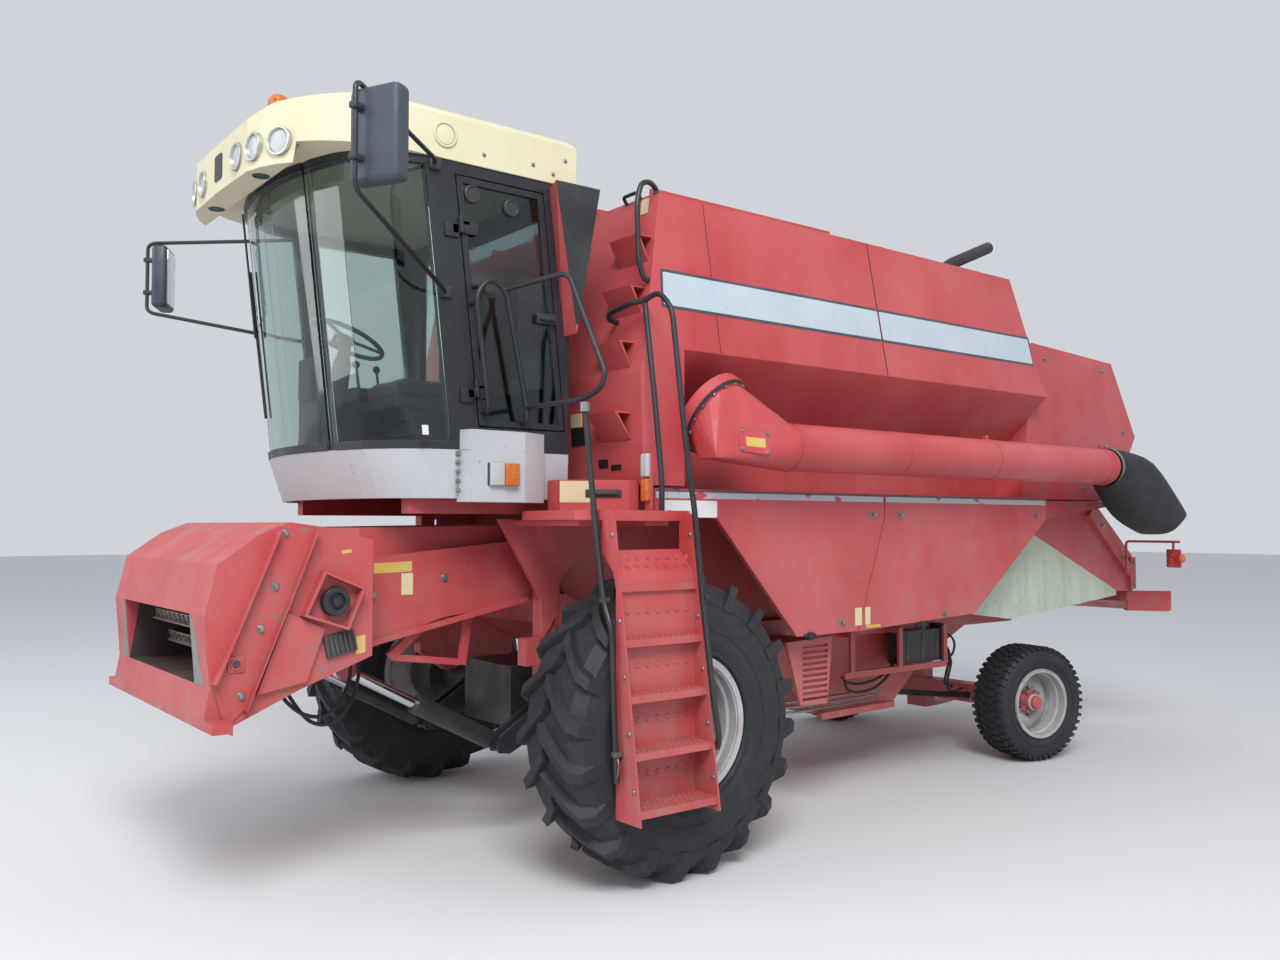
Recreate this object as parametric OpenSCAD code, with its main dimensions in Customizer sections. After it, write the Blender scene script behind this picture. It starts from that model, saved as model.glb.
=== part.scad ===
// Combine harvester, full size, in millimetres.
// Every position along the machine is measured from the front axle, forward positive.
// The centre plane is y = 0, the machine's left is +Y and the ground is z = 0.

/* [Running gear] */
// Distance between the front and rear axles
wheelbase = 3740; // [3400:10:4100]
// Outer diameter of a front tyre over its lugs
front_tyre_d = 1450; // [1300:10:1600]
// Width of a front tyre
front_tyre_w = 460; // [400:5:520]
// Distance from the centre plane to the middle of a front tyre
front_wheel_y = 1315; // [1290:5:1360]
// Diameter of a front rim at its flanges
front_rim_d = 690; // [620:5:720]
// Height of the front lugs
lug_h = 36; // [20:1:45]
// Lugs on each half of a front tread
lug_count = 20; // [14:1:24]
// Outer diameter of a rear tyre
rear_tyre_d = 816; // [700:4:860]
// Width of a rear tyre
rear_tyre_w = 290; // [240:5:320]
// Distance from the centre plane to the middle of a rear tyre
rear_wheel_y = 980; // [940:5:1010]
// Diameter of a rear rim at its flanges
rear_rim_d = 494; // [440:2:520]
// Steering angle at which the rear wheels stand, to the right seen from above
steer_rest = 12; // [0:1:20]
// Distance of the king pins from the centre plane
king_pin_y = 760; // [720:5:780]

/* [Feeder] */
// Height of the shaft that the feeder house swings on
feeder_pivot_z = 1520; // [1480:5:1540]
// Half width of the feeder house
feeder_half_w = 590; // [540:5:620]
// Wall thickness of the feeder house and its mouth
feeder_wall = 12; // [6:1:20]
// Bore of a lift cylinder's barrel
lift_barrel_d = 100; // [80:2:120]
// Diameter of a lift cylinder's rod
lift_rod_d = 56; // [40:2:70]

/* [Body] */
// Half width of the tank and of the side shields
body_half_w = 1223; // [1180:1:1240]
// Height of the top of the tank
tank_top_z = 3400; // [3300:10:3500]
// Thickness of sheet metal walls
sheet = 16; // [8:1:24]
// Width of the gap between neighbouring panels
panel_gap = 8; // [6:1:12]

/* [Cab] */
// Half width of the cab at its doors
cab_half_w = 880; // [840:5:900]
// Height of the cab floor
cab_floor_z = 1900; // [1880:5:1940]
// Height of the underside of the roof
cab_roof_z = 3430; // [3380:5:3480]
// Thickness of the glass
glass_t = 8; // [6:1:12]
// Angle at which the windscreen leans forward
screen_lean = 6.5; // [4:0.5:9]

/* [Unloading auger] */
// Outer diameter of the unloading tube
auger_d = 258; // [220:2:280]
// Distance from the centre plane to the tube's centre line
auger_y = 1387; // [1370:1:1400]
// Height of the tube's centre line
auger_z = 2102; // [2080:1:2140]

/* [Hidden] */
$fn = 48;

red = [0.69, 0.22, 0.23];
dark = [0.16, 0.17, 0.19];
grey = [0.66, 0.68, 0.72];
cream = [0.82, 0.79, 0.66];
glass = [0.35, 0.42, 0.45, 0.5];

// The front axle stands this far forward of the middle of the machine.
axle_x = 1708;
front_r = front_tyre_d / 2;
rear_r = rear_tyre_d / 2;
rear_x = -wheelbase;

// Feeder
feeder_pivot_x = 140;
mouth_half_w = 574;
hood_half_w = 786;
lip_half_w = 911;
lift_y = 420;
lift_foot = [400, 520];
lift_eye = [1270, 985];
lift_angle = atan2(lift_eye[1] - lift_foot[1], lift_eye[0] - lift_foot[0]);
lift_length = norm(lift_eye - lift_foot);
lift_pin_d = 40;
lift_eye_bore = 70;
feeder_shaft_d = 80;
hitch_x = -320;
hitch_d = 32;
running = 0.1;
seat = 0.3;

// Body
band_top_z = 1871;
band_fold_z = 1720;
shield_low_z = 1060;
wall_half_w = 640;
rail_w = 80;
body_front_x = -20;
// The tail of the machine keeps its place over the rear axle.
tail_x = rear_x + 3740;
body_rear_x = tail_x - 3560;
hood_low_x = tail_x - 3480;
deck_half_w = body_half_w - 73;
deck_z = 1868;
tank_front_x = 66;
seam_x = -1604;
recess_half_w = body_half_w - 343;
recess_top_z = 2220;
crease_z = 2592;
tank_top_half_w = body_half_w - 45;
// The front of the tank stands upright up to its crease and leans back above it.
tank_low_x = 42;
tank_crease_z = 2451;
tank_front_top_x = -90;
lid_axis_y = tank_top_half_w - 82;
lid_axis_z = tank_top_z + 20;
lid_hinges = [-350, -1250];
shield_axis_y = body_half_w - 15;
shield_axis_z = band_top_z - 15;
shield_hinges = [-160, -1620, -2000, tail_x - 3380];
seam_low_x = seam_x - 200;

// Unloading auger: the swing ring's centre and the direction of its axis
ring_c = [-440, body_half_w, 2258];
ring_r = 218;
ring_n = [-0.243, 0.773, -0.586];
tube_start_x = -770;
tube_end_x = tail_x - 4060;

// Cab
screen_r = 1720;
screen_corner_r = 480;
screen_front_x = 1400;
cab_rear_x = 270;
pillar_x = 860;
cab_sill_z = 2045;
lean_x = 900;
pillar_front_x = 930;
door_front_x = 775;
door_rear_x = 286;
door_sill_z = 2165;
door_top_z = 3364;
door_hinge_x = door_front_x + 4;
door_hinge_y = cab_half_w + 14;
door_hinges = [2330, 3120];

module at_axle() {
    translate([axle_x, 0, 0]) children();
}

module at_tail() {
    translate([axle_x + tail_x, 0, 0]) children();
}

module both_sides() {
    children();
    mirror([0, 1, 0]) children();
}

// An outline in the plane of x and z, thick from y0 to y1
module side_plate(points, y0, y1) {
    translate([0, y1, 0]) rotate([90, 0, 0]) linear_extrude(y1 - y0) polygon(points);
}

// An outline in the plane of y and z, thick from x0 to x1
module cross_plate(points, x0, x1) {
    translate([x0, 0, 0]) rotate([90, 0, 90]) linear_extrude(x1 - x0) polygon(points);
}

// An outline seen from above, thick from z0 to z1
module side_slab(points, z0, z1) {
    translate([0, 0, z0]) linear_extrude(z1 - z0) polygon(points);
}

module box(low, high) {
    translate(low) cube(high - low);
}

module rod(from, to, d) {
    v = to - from;
    translate(from)
        rotate([0, acos(v[2] / norm(v)), atan2(v[1], v[0])])
            cylinder(h = norm(v), d = d);
}

// A bent tube along a list of points
module bent_tube(points, d) {
    for (i = [0 : len(points) - 2])
        rod(points[i], points[i + 1], d, $fn = 10);
    for (i = [1 : len(points) - 2])
        translate(points[i]) rotate([0, 0, 15]) sphere(d = d * 1.08, $fn = 10);
}

module along_y(x, z, y0, y1, d) {
    translate([x, y0, z]) rotate([-90, 0, 0]) cylinder(h = y1 - y0, d = d);
}

module along_x(y, z, x0, x1, d) {
    translate([x0, y, z]) rotate([0, 90, 0]) cylinder(h = x1 - x0, d = d);
}

// A box beam whose centre line runs in the plane of x and z
module beam_xz(from, to, y0, y1, h) {
    v = to - from;
    translate([from[0], y0, from[1]])
        rotate([0, -atan2(v[1], v[0]), 0])
            translate([0, 0, -h / 2]) cube([norm(v), y1 - y0, h]);
}

// Frame and body

module main_frame() {
    inner = wall_half_w + seat;
    color(red) at_axle() {
        both_sides() difference() {
            union() {
                box([rear_x - 160, inner, 960], [420, inner + rail_w, 1100]);
                side_plate([[-330, 962], [-330, 860], [-150, 780], [150, 780], [330, 900], [330, 962]],
                    inner, inner + rail_w);
                box([240, inner, 1090], [330, inner + rail_w, 1780]);
                box([-300, inner, 1740], [1080, inner + rail_w, 1820 - seat]);
                box([tank_low_x + 14 + seat, inner, 1800], [1080, inner + rail_w, cab_floor_z - seat]);
            }
            along_y(0, front_r, 600, 800, front_axle_d + 2 * running);
        }
        translate([rear_x, 0, 0]) difference() {
            union() {
                box([-60, -650, 960], [60, 650, 1098]);
                for (side = [-1, 1])
                    box([side * 75 - 15, -60, pivot_z - 60], [side * 75 + 15, 60, 1000]);
            }
            along_x(0, pivot_z, -200, 200, pivot_d);
        }
    }
}

module threshing_body() {
    color(red) at_axle() {
        side_plate([[body_front_x, deck_z], [body_front_x, 1240], [-60, 1110], [-260, 980], [-700, 800],
            [-1500, 740], [-1800, 470], [rear_x + 1200, 430], [rear_x + 840, 720], [body_rear_x, 1010],
            [body_rear_x, deck_z]], -wall_half_w, wall_half_w);
        box([body_rear_x, -deck_half_w, 1820], [body_front_x, deck_half_w, deck_z]);
        both_sides() {
            difference() {
                side_plate([[body_front_x - 10, 1250], [body_front_x, 1240], [120, 1330], [230, 1440],
                    [230, deck_z], [body_front_x - 10, deck_z]], feeder_half_w + 12, wall_half_w);
                along_y(feeder_pivot_x, feeder_pivot_z, 500, 700, feeder_shaft_d);
            }
            for (x = shield_hinges) {
                box([x - 20, deck_half_w - 10, shield_axis_z - 12], [x + 20, shield_axis_y, shield_axis_z + 12]);
                along_x(shield_axis_y, shield_axis_z, x - 20, x + 20, 24);
                along_x(shield_axis_y, shield_axis_z, x - 45, x + 45, 15.9);
            }
        }
    }
}

tank_section = [
    [-recess_half_w, 1870], [recess_half_w, 1870], [recess_half_w, recess_top_z],
    [body_half_w, crease_z], [tank_top_half_w, tank_top_z], [-tank_top_half_w, tank_top_z],
    [-body_half_w, crease_z], [-recess_half_w, recess_top_z]
];

// The tank's section as it is inside its walls
tank_inside = [
    [-recess_half_w + sheet, 1870 + sheet], [recess_half_w - sheet, 1870 + sheet],
    [recess_half_w - sheet, recess_top_z + sheet / 2], [body_half_w - sheet, crease_z + sheet / 2],
    [tank_top_half_w - sheet, tank_top_z - sheet], [-tank_top_half_w + sheet, tank_top_z - sheet],
    [-body_half_w + sheet, crease_z + sheet / 2], [-recess_half_w + sheet, recess_top_z + sheet / 2]
];

// The tank's front face at a height, with the lean above its crease
function tank_face(z) = z < tank_crease_z ? tank_front_x
    : tank_front_x - (z - tank_crease_z) * (tank_front_x - tank_front_top_x) / (tank_top_z - tank_crease_z);

module tank_side(grow) {
    side_plate([[seam_x + grow, 1800], [tank_low_x - grow, 1800], [tank_low_x - grow, 1871],
        [tank_front_x - 9 - grow, 2105], [tank_front_x - grow, tank_crease_z],
        [tank_front_top_x - grow, tank_top_z], [tank_front_top_x - grow, 3600], [seam_x + grow, 3600]],
        -1300, 1300);
}

// A climbing step on the tank's front: sheet folded out below and back on top
module climbing_step(z, y0) {
    out = tank_face(z) + 95;
    side_plate([[tank_face(z - 140) - 6, z - 140], [out, z], [tank_face(z) - 6, z], [tank_face(z) - 6, z - 7],
        [out - 18, z - 7], [tank_face(z - 140) - 6, z - 126]], y0, y0 + 240);
}

module grain_tank() {
    color(red) at_axle() {
        difference() {
            intersection() {
                union() {
                    cross_plate(tank_section, seam_x, 200);
                    both_sides() box([-220, 860, band_top_z + 14], [200, body_half_w, crease_z + 10]);
                }
                tank_side(0);
            }
            intersection() {
                cross_plate(tank_inside, seam_x + sheet, 200);
                tank_side(sheet + 1);
            }
            box([seam_x + 130, 168 - tank_top_half_w, tank_top_z - 100],
                [tank_front_top_x - 50, tank_top_half_w - 168, tank_top_z + 100]);
        }
        intersection() {
            translate(ring_c) along_ring() translate([0, 0, -420]) cylinder(h = 420, r = ring_r + 14);
            cross_plate(tank_section, -1000, 0);
        }
        translate(ring_c) along_ring() translate([0, 0, -60]) cylinder(h = 60, r = ring_r + 14);
        for (z = [2257, 2618])
            climbing_step(z, 890);
        for (z = [2900, 3170])
            climbing_step(z, 922);
        both_sides() for (x = lid_hinges) {
            box([x - 20, lid_axis_y - 10, tank_top_z - 5], [x + 20, lid_axis_y + 10, lid_axis_z]);
            along_x(lid_axis_y, lid_axis_z, x - 20, x + 20, 20);
            along_x(lid_axis_y, lid_axis_z, x - 60, x + 60, 11.9);
        }
    }
}

module along_ring() {
    rotate([0, acos(ring_n[2]), atan2(ring_n[1], ring_n[0])]) children();
}

module tank_lid_left() {
    color(red) at_axle() difference() {
        union() {
            box([seam_x + 90, panel_gap / 2, tank_top_z + seat],
                [tank_front_top_x - 30, lid_axis_y - 22, tank_top_z + 22]);
            for (y = [60, 560, lid_axis_y - 52])
                box([seam_x + 100, y, tank_top_z + 21], [tank_front_top_x - 40, y + 30, tank_top_z + 58]);
            for (x = lid_hinges, side = [-1, 1]) {
                box([x + side * 44 - 19, lid_axis_y - 30, tank_top_z + 12], [x + side * 44 + 19, lid_axis_y, lid_axis_z]);
                along_x(lid_axis_y, lid_axis_z, x + side * 44 - 19, x + side * 44 + 19, 20);
            }
        }
        for (x = lid_hinges)
            along_x(lid_axis_y, lid_axis_z, x - 65, x + 65, 12);
    }
}

module tank_lid_right() {
    mirror([0, 1, 0]) tank_lid_left();
}

hood_profile = [
    [seam_x - seat, 1870], [seam_x - seat, tank_top_z], [hood_low_x + 254, tank_top_z - 10],
    [hood_low_x, 2828], [hood_low_x - 120, 2592], [hood_low_x, 1870]
];

module engine_hood() {
    color(red) at_axle() difference() {
        intersection() {
            side_plate(hood_profile, -1300, 1300);
            cross_plate(tank_section, -4000, seam_x - seat);
        }
        intersection() {
            box([hood_low_x + 380, -1250, 2250], [seam_x - seat - sheet, 1250, 3500]);
            cross_plate(tank_inside, -4000, seam_x);
        }
    }
}

module engine() {
    color(dark) at_axle() box([-2750, -450, 2250 + seat], [-1850, 450, tank_top_z - 320]);
}

module exhaust() {
    low = hood_low_x + 360;
    color(dark) at_axle()
        bent_tube([[low, 544, tank_top_z - 9], [low, 544, tank_top_z + 70], [low - 313, 544, tank_top_z + 249],
            [low - 805, 544, tank_top_z + 457]], 90);
}

module rear_hood() {
    color(red) at_tail() {
        side_plate([[-3480 - seat, 1870 + seat], [-3600 - seat, 2592], [-3480 - seat, 2828], [-3640, 3002],
            [-4740, 2949], [-5094, 2389], [-5005, 2260], [-4700, 1870 + seat]], 135 - body_half_w, body_half_w - 135);
        side_plate([[-3560 - seat, 1900], [-3560 - seat, 1400], [-4000, 1500], [-5000, 1150],
            [-5274, 1147], [-5274, 1432], [-4650, 1900]], -952, 952);
        both_sides() {
            side_plate([[-3575, 1724], [-3575, 1858], [-4620, 1866], [-4620, 1822], [-3700, 1724]], 950, 1100);
            beam_xz([-4600, 1790], [-5230, 1280], 951, 984, 90);
            box([-5270, 951, 1162], [-5190, 985, 1420]);
        }
    }
}

module straw_curtain() {
    color([0.72, 0.76, 0.7]) at_tail() both_sides()
        side_plate([[-2720, 1108], [-3560, 1719], [-5000, 1160], [-5000, 1120], [-3500, 1010]], 952 + seat, 960);
}

module spreader() {
    color(red) at_tail() {
        box([-5270, -930, 1060], [-5220, 930, 1147 - seat]);
        both_sides() {
            translate([-5240, 925, 990]) rotate([0, 0, 128]) cube([330, 8, 156]);
            side_slab([[-5240, 925], [-5419, 1180], [-5419, 900], [-5300, 860]], 982, 992);
        }
        side_plate([[-5225, 1090], [-5225, 1060], [-5430, 980], [-5430, 1010]], -930, 930);
    }
}

// Side shields: the band with its top hinge, and the panel below it

module shield(points) {
    difference() {
        side_plate(points, body_half_w - 30, body_half_w);
        for (x = shield_hinges) {
            box([x - 25, shield_axis_y - 60, shield_axis_z - 20], [x + 25, shield_axis_y + 60, band_top_z + 1]);
            along_x(shield_axis_y, shield_axis_z, x - 48, x + 48, 16);
        }
    }
}

shield_front_points = [
    [-20, band_top_z], [seam_low_x, band_top_z], [seam_low_x, band_fold_z],
    [-1559, shield_low_z], [-1042, shield_low_z], [-444, band_fold_z], [-20, band_fold_z]
];
shield_rear_points = [
    [seam_low_x - panel_gap, band_top_z], [tail_x - 3570, band_top_z], [tail_x - 3562, band_fold_z],
    [tail_x - 2710, 1106], [-1559 - panel_gap, shield_low_z], [seam_low_x - panel_gap, band_fold_z]
];

module shield_front_left() {
    color(red) at_axle() shield(shield_front_points);
}

module shield_rear_left() {
    color(red) at_axle() shield(shield_rear_points);
}

module shield_front_right() {
    mirror([0, 1, 0]) shield_front_left();
}

module shield_rear_right() {
    mirror([0, 1, 0]) shield_rear_left();
}

// Front axle and wheels

front_axle_d = 200;
front_drive_y = 1130;

module front_axle() {
    color(dark) at_axle() {
        along_y(0, front_r, -1040, 1040, front_axle_d);
        both_sides() {
            along_y(0, front_r, 780, 1040, 400);
            along_y(0, front_r, 1030, front_drive_y, 240);
            for (side = [-1, 1])
                side_plate([[-40, 660], [60, 790], [425, 565], [440, 520], [425, 480], [360, 470]],
                    lift_y + side * 40 - 10, lift_y + side * 40 + 10);
            along_y(lift_foot[0], lift_foot[1], lift_y - 50, lift_y + 50, lift_pin_d - running);
        }
        box([-170, -260, 560], [230, 260, 900]);
    }
}

front_bead_r = front_rim_d / 2 - 18;
front_half_w = front_tyre_w / 2;
carcass_r = front_r - lug_h;
tyre_facets = 40;

module front_tyre() {
    rotate([90, 0, 0]) rotate_extrude($fn = tyre_facets)
        polygon([[front_bead_r, -front_half_w * 0.8], [front_bead_r + 90, -front_half_w * 0.97],
            [front_r * 0.72, -front_half_w], [carcass_r - 60, -front_half_w * 0.94],
            [carcass_r - 8, -front_half_w * 0.74], [carcass_r, 0],
            [carcass_r - 8, front_half_w * 0.74], [carcass_r - 60, front_half_w * 0.94],
            [front_r * 0.72, front_half_w], [front_bead_r + 90, front_half_w * 0.97],
            [front_bead_r, front_half_w * 0.8]]);
    for (side = [-1, 1])
        for (i = [0 : lug_count - 1])
            rotate([0, (i + (side > 0 ? 0 : 0.5)) * 360 / lug_count, 0]) lug(side);
}

// One lug: stations from the middle of the tread to the shoulder, each with its
// distance across, its angle round the wheel, its top radius and its foot radius
function lug_stations(side) = [
    [-18, -3, front_r, carcass_r - 14],
    [front_half_w * 0.42, 5.5, front_r, carcass_r - 16],
    [front_half_w * 0.86, 11.5, front_r - 6, carcass_r - 40],
    [front_half_w * 0.99, 13.5, front_r - 62, carcass_r - 110]
];

function around(r, angle, y) = [r * sin(angle), y, r * cos(angle)];

module lug(side) {
    s = lug_stations(side);
    top = 2.0;
    foot = 3.2;
    points = [for (p = s) each [
        around(p[3], side * 0 + p[1] - foot, side * p[0]), around(p[3], p[1] + foot, side * p[0]),
        around(p[2], p[1] + top, side * p[0]), around(p[2], p[1] - top, side * p[0])]];
    n = len(s);
    faces = concat(
        [[0, 1, 2, 3]],
        [for (i = [0 : n - 2], k = [0 : 3])
            [4 * i + k, 4 * i + 4 + k, 4 * i + 4 + (k + 1) % 4, 4 * i + (k + 1) % 4]],
        [[4 * n - 1, 4 * n - 2, 4 * n - 3, 4 * n - 4]]);
    polyhedron(points, side > 0 ? [for (f = faces) [for (j = [len(f) - 1 : -1 : 0]) f[j]]] : faces,
        convexity = 3);
}

module front_rim() {
    half_w = front_half_w * 0.8;
    // wheel disc toward the machine, dish open outward
    rotate([-90, 0, 0]) {
        difference() {
            union() {
                cylinder(h = 2 * (half_w + 22), r = front_bead_r - seat, center = true);
                for (side = [-1, 1])
                    translate([0, 0, side * (half_w + 15)]) cylinder(h = 12, r = front_rim_d / 2, center = true);
            }
            cylinder(h = 3 * half_w, r = front_bead_r - 14, center = true);
        }
        translate([0, 0, -175]) cylinder(h = 16, r = front_bead_r - 10);
        translate([0, 0, front_drive_y + seat - front_wheel_y]) cylinder(h = 70, r = 130);
    }
}

module front_wheel_place(side) {
    at_axle() translate([0, side * front_wheel_y, front_r]) mirror([0, side < 0 ? 1 : 0, 0]) children();
}

module front_rim_left() {
    color(grey) front_wheel_place(1) front_rim();
}

module front_tyre_left() {
    color(dark) front_wheel_place(1) front_tyre();
}

module front_rim_right() {
    color(grey) front_wheel_place(-1) front_rim();
}

module front_tyre_right() {
    color(dark) front_wheel_place(-1) front_tyre();
}

// Rear axle, steering and wheels

arm_length = 190;

pivot_z = 700;
pivot_d = 60;

module rear_axle() {
    color(red) at_axle() translate([rear_x, 0, 0]) {
        box([-70, -650, 340], [70, 650, 476]);
        box([-59.5, -70, 470], [59.5, 70, pivot_z + 60]);
        along_x(0, pivot_z, -105, 105, pivot_d - running);
        both_sides() {
            box([-45, 640, 312], [45, 685, 504]);
            difference() {
                union() {
                    for (z = [312, 464]) {
                        box([-45, 680, z], [45, king_pin_y, z + 40]);
                        translate([0, king_pin_y, z]) cylinder(h = 40, d = 124);
                    }
                }
                translate([0, king_pin_y, 200]) cylinder(h = 500, d = 50);
            }
        }
        difference() {
            for (z = [250, 320])
                side_slab([[-350, -50], [-380, 0], [-350, 50], [-60, 90], [60, 90], [60, -90], [-60, -90]], z, z + 20);
            translate([hitch_x, 0, 200]) cylinder(h = 200, d = hitch_d);
        }
        box([-60, -90, 250], [60, 90, 342]);
    }
}

module at_king_pin(side) {
    at_axle() translate([rear_x, side * king_pin_y, 0]) rotate([0, 0, -steer_rest]) children();
}

module knuckle(side) {
    color(dark) at_king_pin(side) {
        translate([0, 0, 304]) cylinder(h = 208, d = 49.9);
        translate([0, 0, 357]) cylinder(h = 102, d = 100);
        mirror([0, side < 0 ? 1 : 0, 0]) {
            translate([0, 0, rear_r]) rotate([-90, 0, 0]) cylinder(h = 130, d = 80);
            translate([0, 129, rear_r]) rotate([-90, 0, 0]) cylinder(h = 60, d = 59.9);
        }
        box([-arm_length, -25, 424], [0, 25, 450]);
        translate([-arm_length, 0, 424]) cylinder(h = 26, d = 60);
        translate([-arm_length, 0, 394]) cylinder(h = 31, d = 24.9);
    }
}

module knuckle_left() {
    knuckle(1);
}

module knuckle_right() {
    knuckle(-1);
}

arm_tip = [-arm_length * cos(steer_rest), arm_length * sin(steer_rest)];

module tie_rod() {
    color(dark) at_axle() translate([rear_x + arm_tip[0], arm_tip[1], 0]) {
        difference() {
            union() {
                both_sides() translate([0, king_pin_y, 396]) cylinder(h = 24, d = 56);
                along_y(0, 408, -king_pin_y + 24, king_pin_y - 24, 24);
            }
            both_sides() translate([0, king_pin_y, 300]) cylinder(h = 200, d = 25);
        }
    }
}

rear_bead_r = rear_rim_d / 2 - 14;
rear_half_w = rear_tyre_w / 2;

module rear_wheel_place(side) {
    at_king_pin(side) mirror([0, side < 0 ? 1 : 0, 0])
        translate([0, rear_wheel_y - king_pin_y, rear_r]) children();
}

module rear_tyre() {
    rotate([90, 0, 0]) rotate_extrude($fn = tyre_facets)
        polygon([[rear_bead_r, -rear_half_w * 0.8], [rear_bead_r + 50, -rear_half_w * 0.97],
            [rear_r - 80, -rear_half_w], [rear_r - 24, -rear_half_w * 0.9], [rear_r, -rear_half_w * 0.7],
            [rear_r, rear_half_w * 0.7], [rear_r - 24, rear_half_w * 0.9], [rear_r - 80, rear_half_w],
            [rear_bead_r + 50, rear_half_w * 0.97], [rear_bead_r, rear_half_w * 0.8]]);
}

module rear_rim() {
    half_w = rear_half_w * 0.8;
    rotate([-90, 0, 0]) difference() {
        union() {
            difference() {
                union() {
                    cylinder(h = 2 * (half_w + 18), r = rear_bead_r - seat, center = true);
                    for (side = [-1, 1])
                        translate([0, 0, side * (half_w + 13)]) cylinder(h = 10, r = rear_rim_d / 2, center = true);
                }
                cylinder(h = 3 * half_w, r = rear_bead_r - 12, center = true);
            }
            translate([0, 0, -40]) cylinder(h = 12, r = rear_bead_r - 8);
            translate([0, 0, -85]) cylinder(h = 160, d = 120);
        }
        translate([0, 0, -90]) cylinder(h = 80, d = 60);
    }
}

module rear_rim_left() {
    color(grey) rear_wheel_place(1) rear_rim();
}

module rear_tyre_left() {
    color(dark) rear_wheel_place(1) rear_tyre();
}

module rear_rim_right() {
    color(grey) rear_wheel_place(-1) rear_rim();
}

module rear_tyre_right() {
    color(dark) rear_wheel_place(-1) rear_tyre();
}

// Feeder

module feeder_house() {
    side = feeder_half_w - 90;
    color(red) at_axle() {
        difference() {
            union() {
                side_plate([[60, 1637], [mouth_rear_x - seat, 1521], [mouth_rear_x - seat, 1088], [820, 1225],
                    [177, 1300], [60, 1320]], -feeder_half_w, feeder_half_w);
                side_plate([[70, 1620], [110, 1688], [mouth_rear_x - 60, 1672], [mouth_rear_x - 20, 1510]], -side, side);
            }
            side_plate([[0, 1643 - feeder_wall], [1300, 1520 - feeder_wall], [1300, 1084 + feeder_wall],
                [820, 1225 + feeder_wall], [177, 1300 + feeder_wall], [0, 1330 + feeder_wall]],
                feeder_wall - feeder_half_w, feeder_half_w - feeder_wall);
            both_sides() along_y(feeder_pivot_x, feeder_pivot_z, 500, 700, feeder_shaft_d);
        }
        both_sides() {
            beam_xz([340, 1297], [1262, 1112], feeder_half_w - 1, feeder_half_w + 26, 26);
            beam_xz([834, 1235], [1078, 1040], side + 6, side + 34, 46);
            beam_xz([1070, 1039], [690, 986], side + 9, side + 31, 34);
            beam_xz([683, 972], [640, 1250], side + 6, side + 34, 40);
            difference() {
                side_plate([[1205, 1116], [1212, 1000], [1232, 955], [1260, 938], [1300, 940], [1318, 975], [1286, 1060], [1286, 1096]],
                    lift_y - 50, lift_y + 50);
                side_plate([[1100, 1060], [1100, 900], [1400, 900], [1400, 1060]], lift_y - 30, lift_y + 30);
            }
            along_y(lift_eye[0], lift_eye[1], lift_y - 45, lift_y + 45, lift_pin_d);
        }
    }
}

mouth_rear_x = 1287;

module feeder_mouth() {
    plate = 7;
    color(red) at_axle() {
        difference() {
            side_plate([[mouth_rear_x, 1617], [1495, 1673], [1675, 1697], [1810, 1644], [1982, 1520], [2033, 1303],
                [2007, 1003], [2030, 872], [1948, 820], [1631, 961], [mouth_rear_x, 1088]], -hood_half_w, hood_half_w);
            side_plate([[1200, 1509], [1740, 1600], [1900, 1500], [1960, 1303], [2100, 1303], [2100, 1003],
                [1700, 1003], [mouth_rear_x, 1100], [1200, 1100]], -mouth_half_w, mouth_half_w);
            both_sides() side_plate([[mouth_rear_x - 1, 1560], [1640, 1600], [1850, 1450], [1880, 1100], [1640, 1010],
                [mouth_rear_x - 1, 1130]], mouth_half_w + 18, hood_half_w - 18);
        }
        both_sides() {
            // the folded channel that frames the back of the hood
            side_plate([[1739, 1657], [1650, 1690], [1561, 1664], [1872, 895], [1945, 829], [2001, 1023]],
                hood_half_w - 1, hood_half_w + plate);
            side_plate([[1570, 1664], [1561, 1664], [1864, 905], [1872, 895]], hood_half_w - 1, hood_half_w + 60);
            side_plate([[1739, 1657], [1728, 1660], [1990, 1026], [2001, 1023]], hood_half_w - 1, hood_half_w + 60);
            // the guard round the end of the shaft
            difference() {
                side_plate([[1541, 1484], [1344, 1402], [1423, 1215], [1629, 1287]], hood_half_w - 1, hood_half_w + 60);
                side_plate([[1530, 1468], [1362, 1396], [1432, 1230], [1612, 1294]], hood_half_w + plate, hood_half_w + 61);
            }
            side_plate([[1691, 1303], [1520, 1228], [1600, 1000], [1820, 960]], hood_half_w - 1, hood_half_w + 26);
        }
        box([1948, -lip_half_w, 830], [2030, lip_half_w, 872]);
        both_sides() side_plate([[1948, 820], [1948, 832], [2030, 874], [2030, 862]], hood_half_w, lip_half_w);
    }
}

chain_front = [1640, 1245];
chain_front_r = 100;
chain_rear_r = 70;
chain_t = 14;

module chain_loop(grow) {
    hull() {
        translate([feeder_pivot_x, feeder_pivot_z]) circle(r = chain_rear_r + grow, $fn = 24);
        translate(chain_front) circle(r = chain_front_r + grow, $fn = 24);
    }
}

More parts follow.
